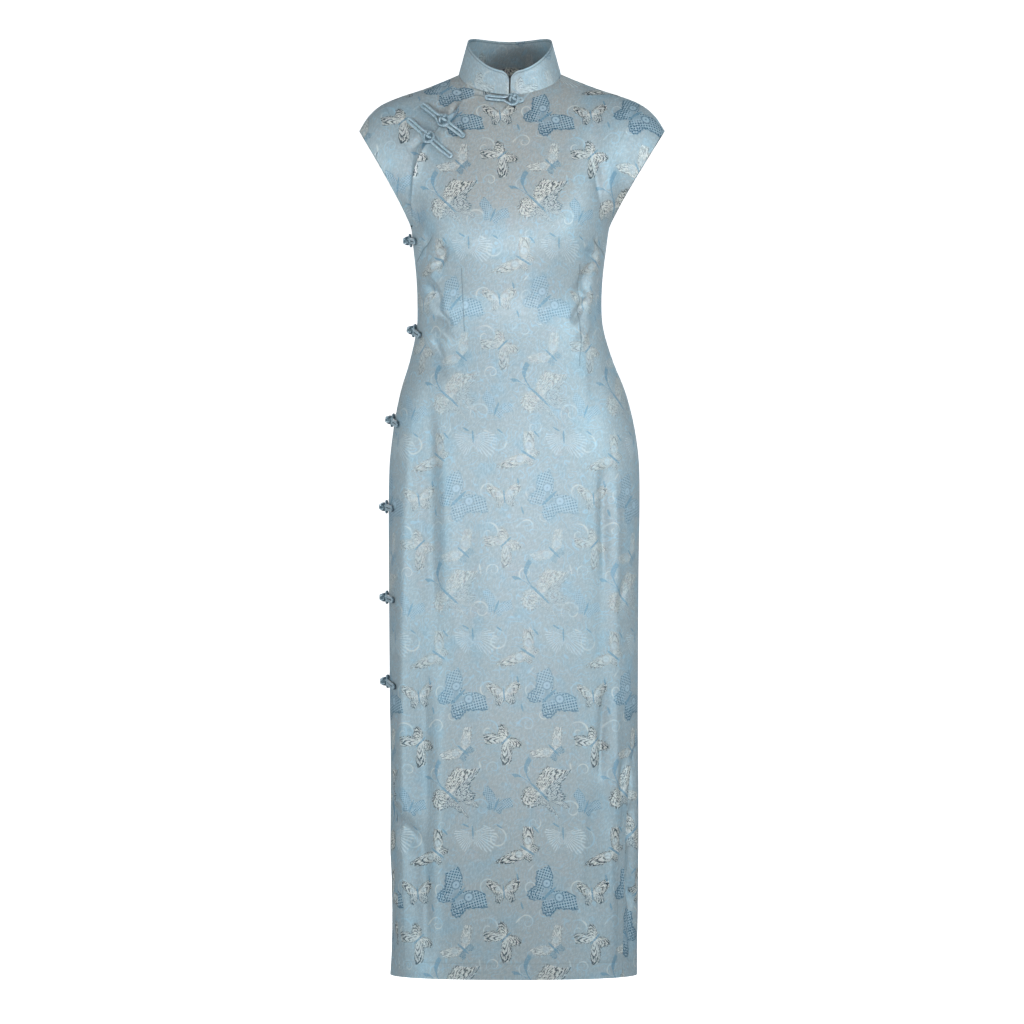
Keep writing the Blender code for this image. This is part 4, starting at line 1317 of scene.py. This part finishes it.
    # Relief of the threads
    weave = new_node(place, "TexWave")
    weave.wave_type = "BANDS"
    weave.bands_direction = "DIAGONAL"
    settle(weave, {"Scale": WEAVE_SCALE})
    plug(weave.inputs["Vector"], place)
    height = motif * 0.6 + Term(weave.outputs["Fac"]) * 0.18 + slub * 0.35 - groove_dent_and_shade * 1.6 - dark * 0.25
    emboss(shader, height, *SILK_RELIEF)
    return material


def silk_cord():
    """Rolled bias tube of the same silk, with a faint slant of the weave, and painted shade: darker on its sides and
    underside and deep in its knots.
    """
    material, shader = new_material("silk_cord")
    where = Term(shader.id_data.nodes.new("ShaderNodeTexCoord").outputs["Object"])
    cloud = noise(where, CORD_CLOUDS)
    fine = noise(where, CORD_GRAIN)
    run, crown, _ = map_place(shader, "cord").parts()
    twist = ((run + crown * CORD_SLANT) / CORD_PITCH).wave().step(0.1, 0.24)
    colour = dye(cloud.step(0.38, 0.62), CORD_COLOUR, CORD_LIGHT)
    colour = dye(noise(where, CORD_FLECKS, 1.0).step(0.54, 0.6) * 0.5, colour, THREAD_BLUE)
    # Painted shade toward the cloth and deep in the knots, broken by the slant of the weave
    colour = dye(crown.step(0.2, 0.66) * (twist * 0.25 + 0.75), CORD_PAINTED_SHADE, colour)
    plug(shader.inputs["Base Color"], colour)
    plug(shader.inputs["Roughness"], fine * 0.12 + 0.32)
    settle(shader, CORD_FINISH)
    emboss(shader, fine, *CORD_RELIEF)
    return material


def softbox(name, place, aim, size, power, spread, colour):
    """Rectangular light that faces a point, its beam narrowed to spread degrees."""
    lamp = bpy.data.lights.new(name, "AREA")
    lamp.shape = "RECTANGLE"
    lamp.size, lamp.size_y = size
    lamp.energy = power
    lamp.spread = math.radians(spread)
    lamp.color = colour
    light = add(name, lamp)
    light.location = place
    light.rotation_euler = (Vector(aim) - Vector(place)).to_track_quat("-Z", "Y").to_euler()
    light.visible_camera = False


def make_stage():
    """Pale floor below the dress and a white dome all round, which light nothing themselves."""
    disc, ball = bmesh.new(), bmesh.new()
    bmesh.ops.create_circle(disc, cap_ends=True, segments=64, radius=STAGE_RADIUS)
    bmesh.ops.translate(disc, verts=disc.verts, vec=(0.0, 0.0, FLOOR_Z))
    bmesh.ops.create_uvsphere(ball, u_segments=48, v_segments=24, radius=STAGE_RADIUS)
    for name, shape in (("floor", disc), ("dome", ball)):
        thing = add(name, poured(shape, name))
        material, shader = new_material(f"white_{name}")
        settle(shader, WHITE)
        thing.data.materials.append(material)
        for ray in ("diffuse", "glossy", "transmission", "shadow"):
            setattr(thing, f"visible_{ray}", False)


def make_world():
    """Even grey surroundings, as the fill of the studio."""
    world = bpy.data.worlds.new("studio")
    world.use_nodes = True
    settle(world.node_tree.nodes["Background"], {"Color": FILL_COLOUR, "Strength": FILL_STRENGTH})
    bpy.context.scene.world = world


def make_camera():
    """Level camera straight in front."""
    view = bpy.data.cameras.new("camera")
    view.sensor_width = SENSOR
    view.lens = SENSOR * CAMERA_DISTANCE / VIEW_WIDTH
    view.clip_end = 4 * STAGE_RADIUS
    camera = add("camera", view)
    camera.location = (0.0, -CAMERA_DISTANCE, CAMERA_Z)
    camera.rotation_euler = (math.pi / 2, 0.0, 0.0)
    bpy.context.scene.camera = camera


# Only the body's silk paints the sheen band and the unlit ground
silk = jacquard("silk_jacquard", 0.12, 1.0, 1.0)
# The collar's weave is faded to 0.45 of its contrast: painted sheen
collar_silk = jacquard("silk_collar", 0.22, 0.45, 0.0)
cord_silk = silk_cord()
front = make_front(silk)
under = make_front_under(silk)
back = make_back(silk)
collar = make_collar(collar_silk)

# Each cloth piece stands in for its node; its slot, the piece that it rests on, the width and length of its rectangle
# and its flat area are listed but not used
for piece, node, slot, rests_on, flat, area in (
    (front, "front", "jacquard", back, (0.5, 1.27), 0.48),
    (under, "front_under", "jacquard", back, (0.24, 0.22), 0.025),
    (back, "back", "jacquard", collar, (0.5, 1.27), 0.58),
    (collar, "collar", "collar", back, (0.41, 0.045), 0.0157),
):
    stand_for(piece, node)
for frog in CHEST_FROGS:
    make_frog(frog.name, chest_place(frog), frog.front_leg, frog.under_leg, cord_silk)
for frog in SIDE_FROGS:
    make_frog(frog.name, side_place(frog), LEG_LENGTH, LEG_LENGTH, cord_silk)

make_stage()
make_world()
make_camera()
for lamp in LAMPS:
    softbox(*lamp)
bpy.context.scene.view_settings.view_transform = "Standard"
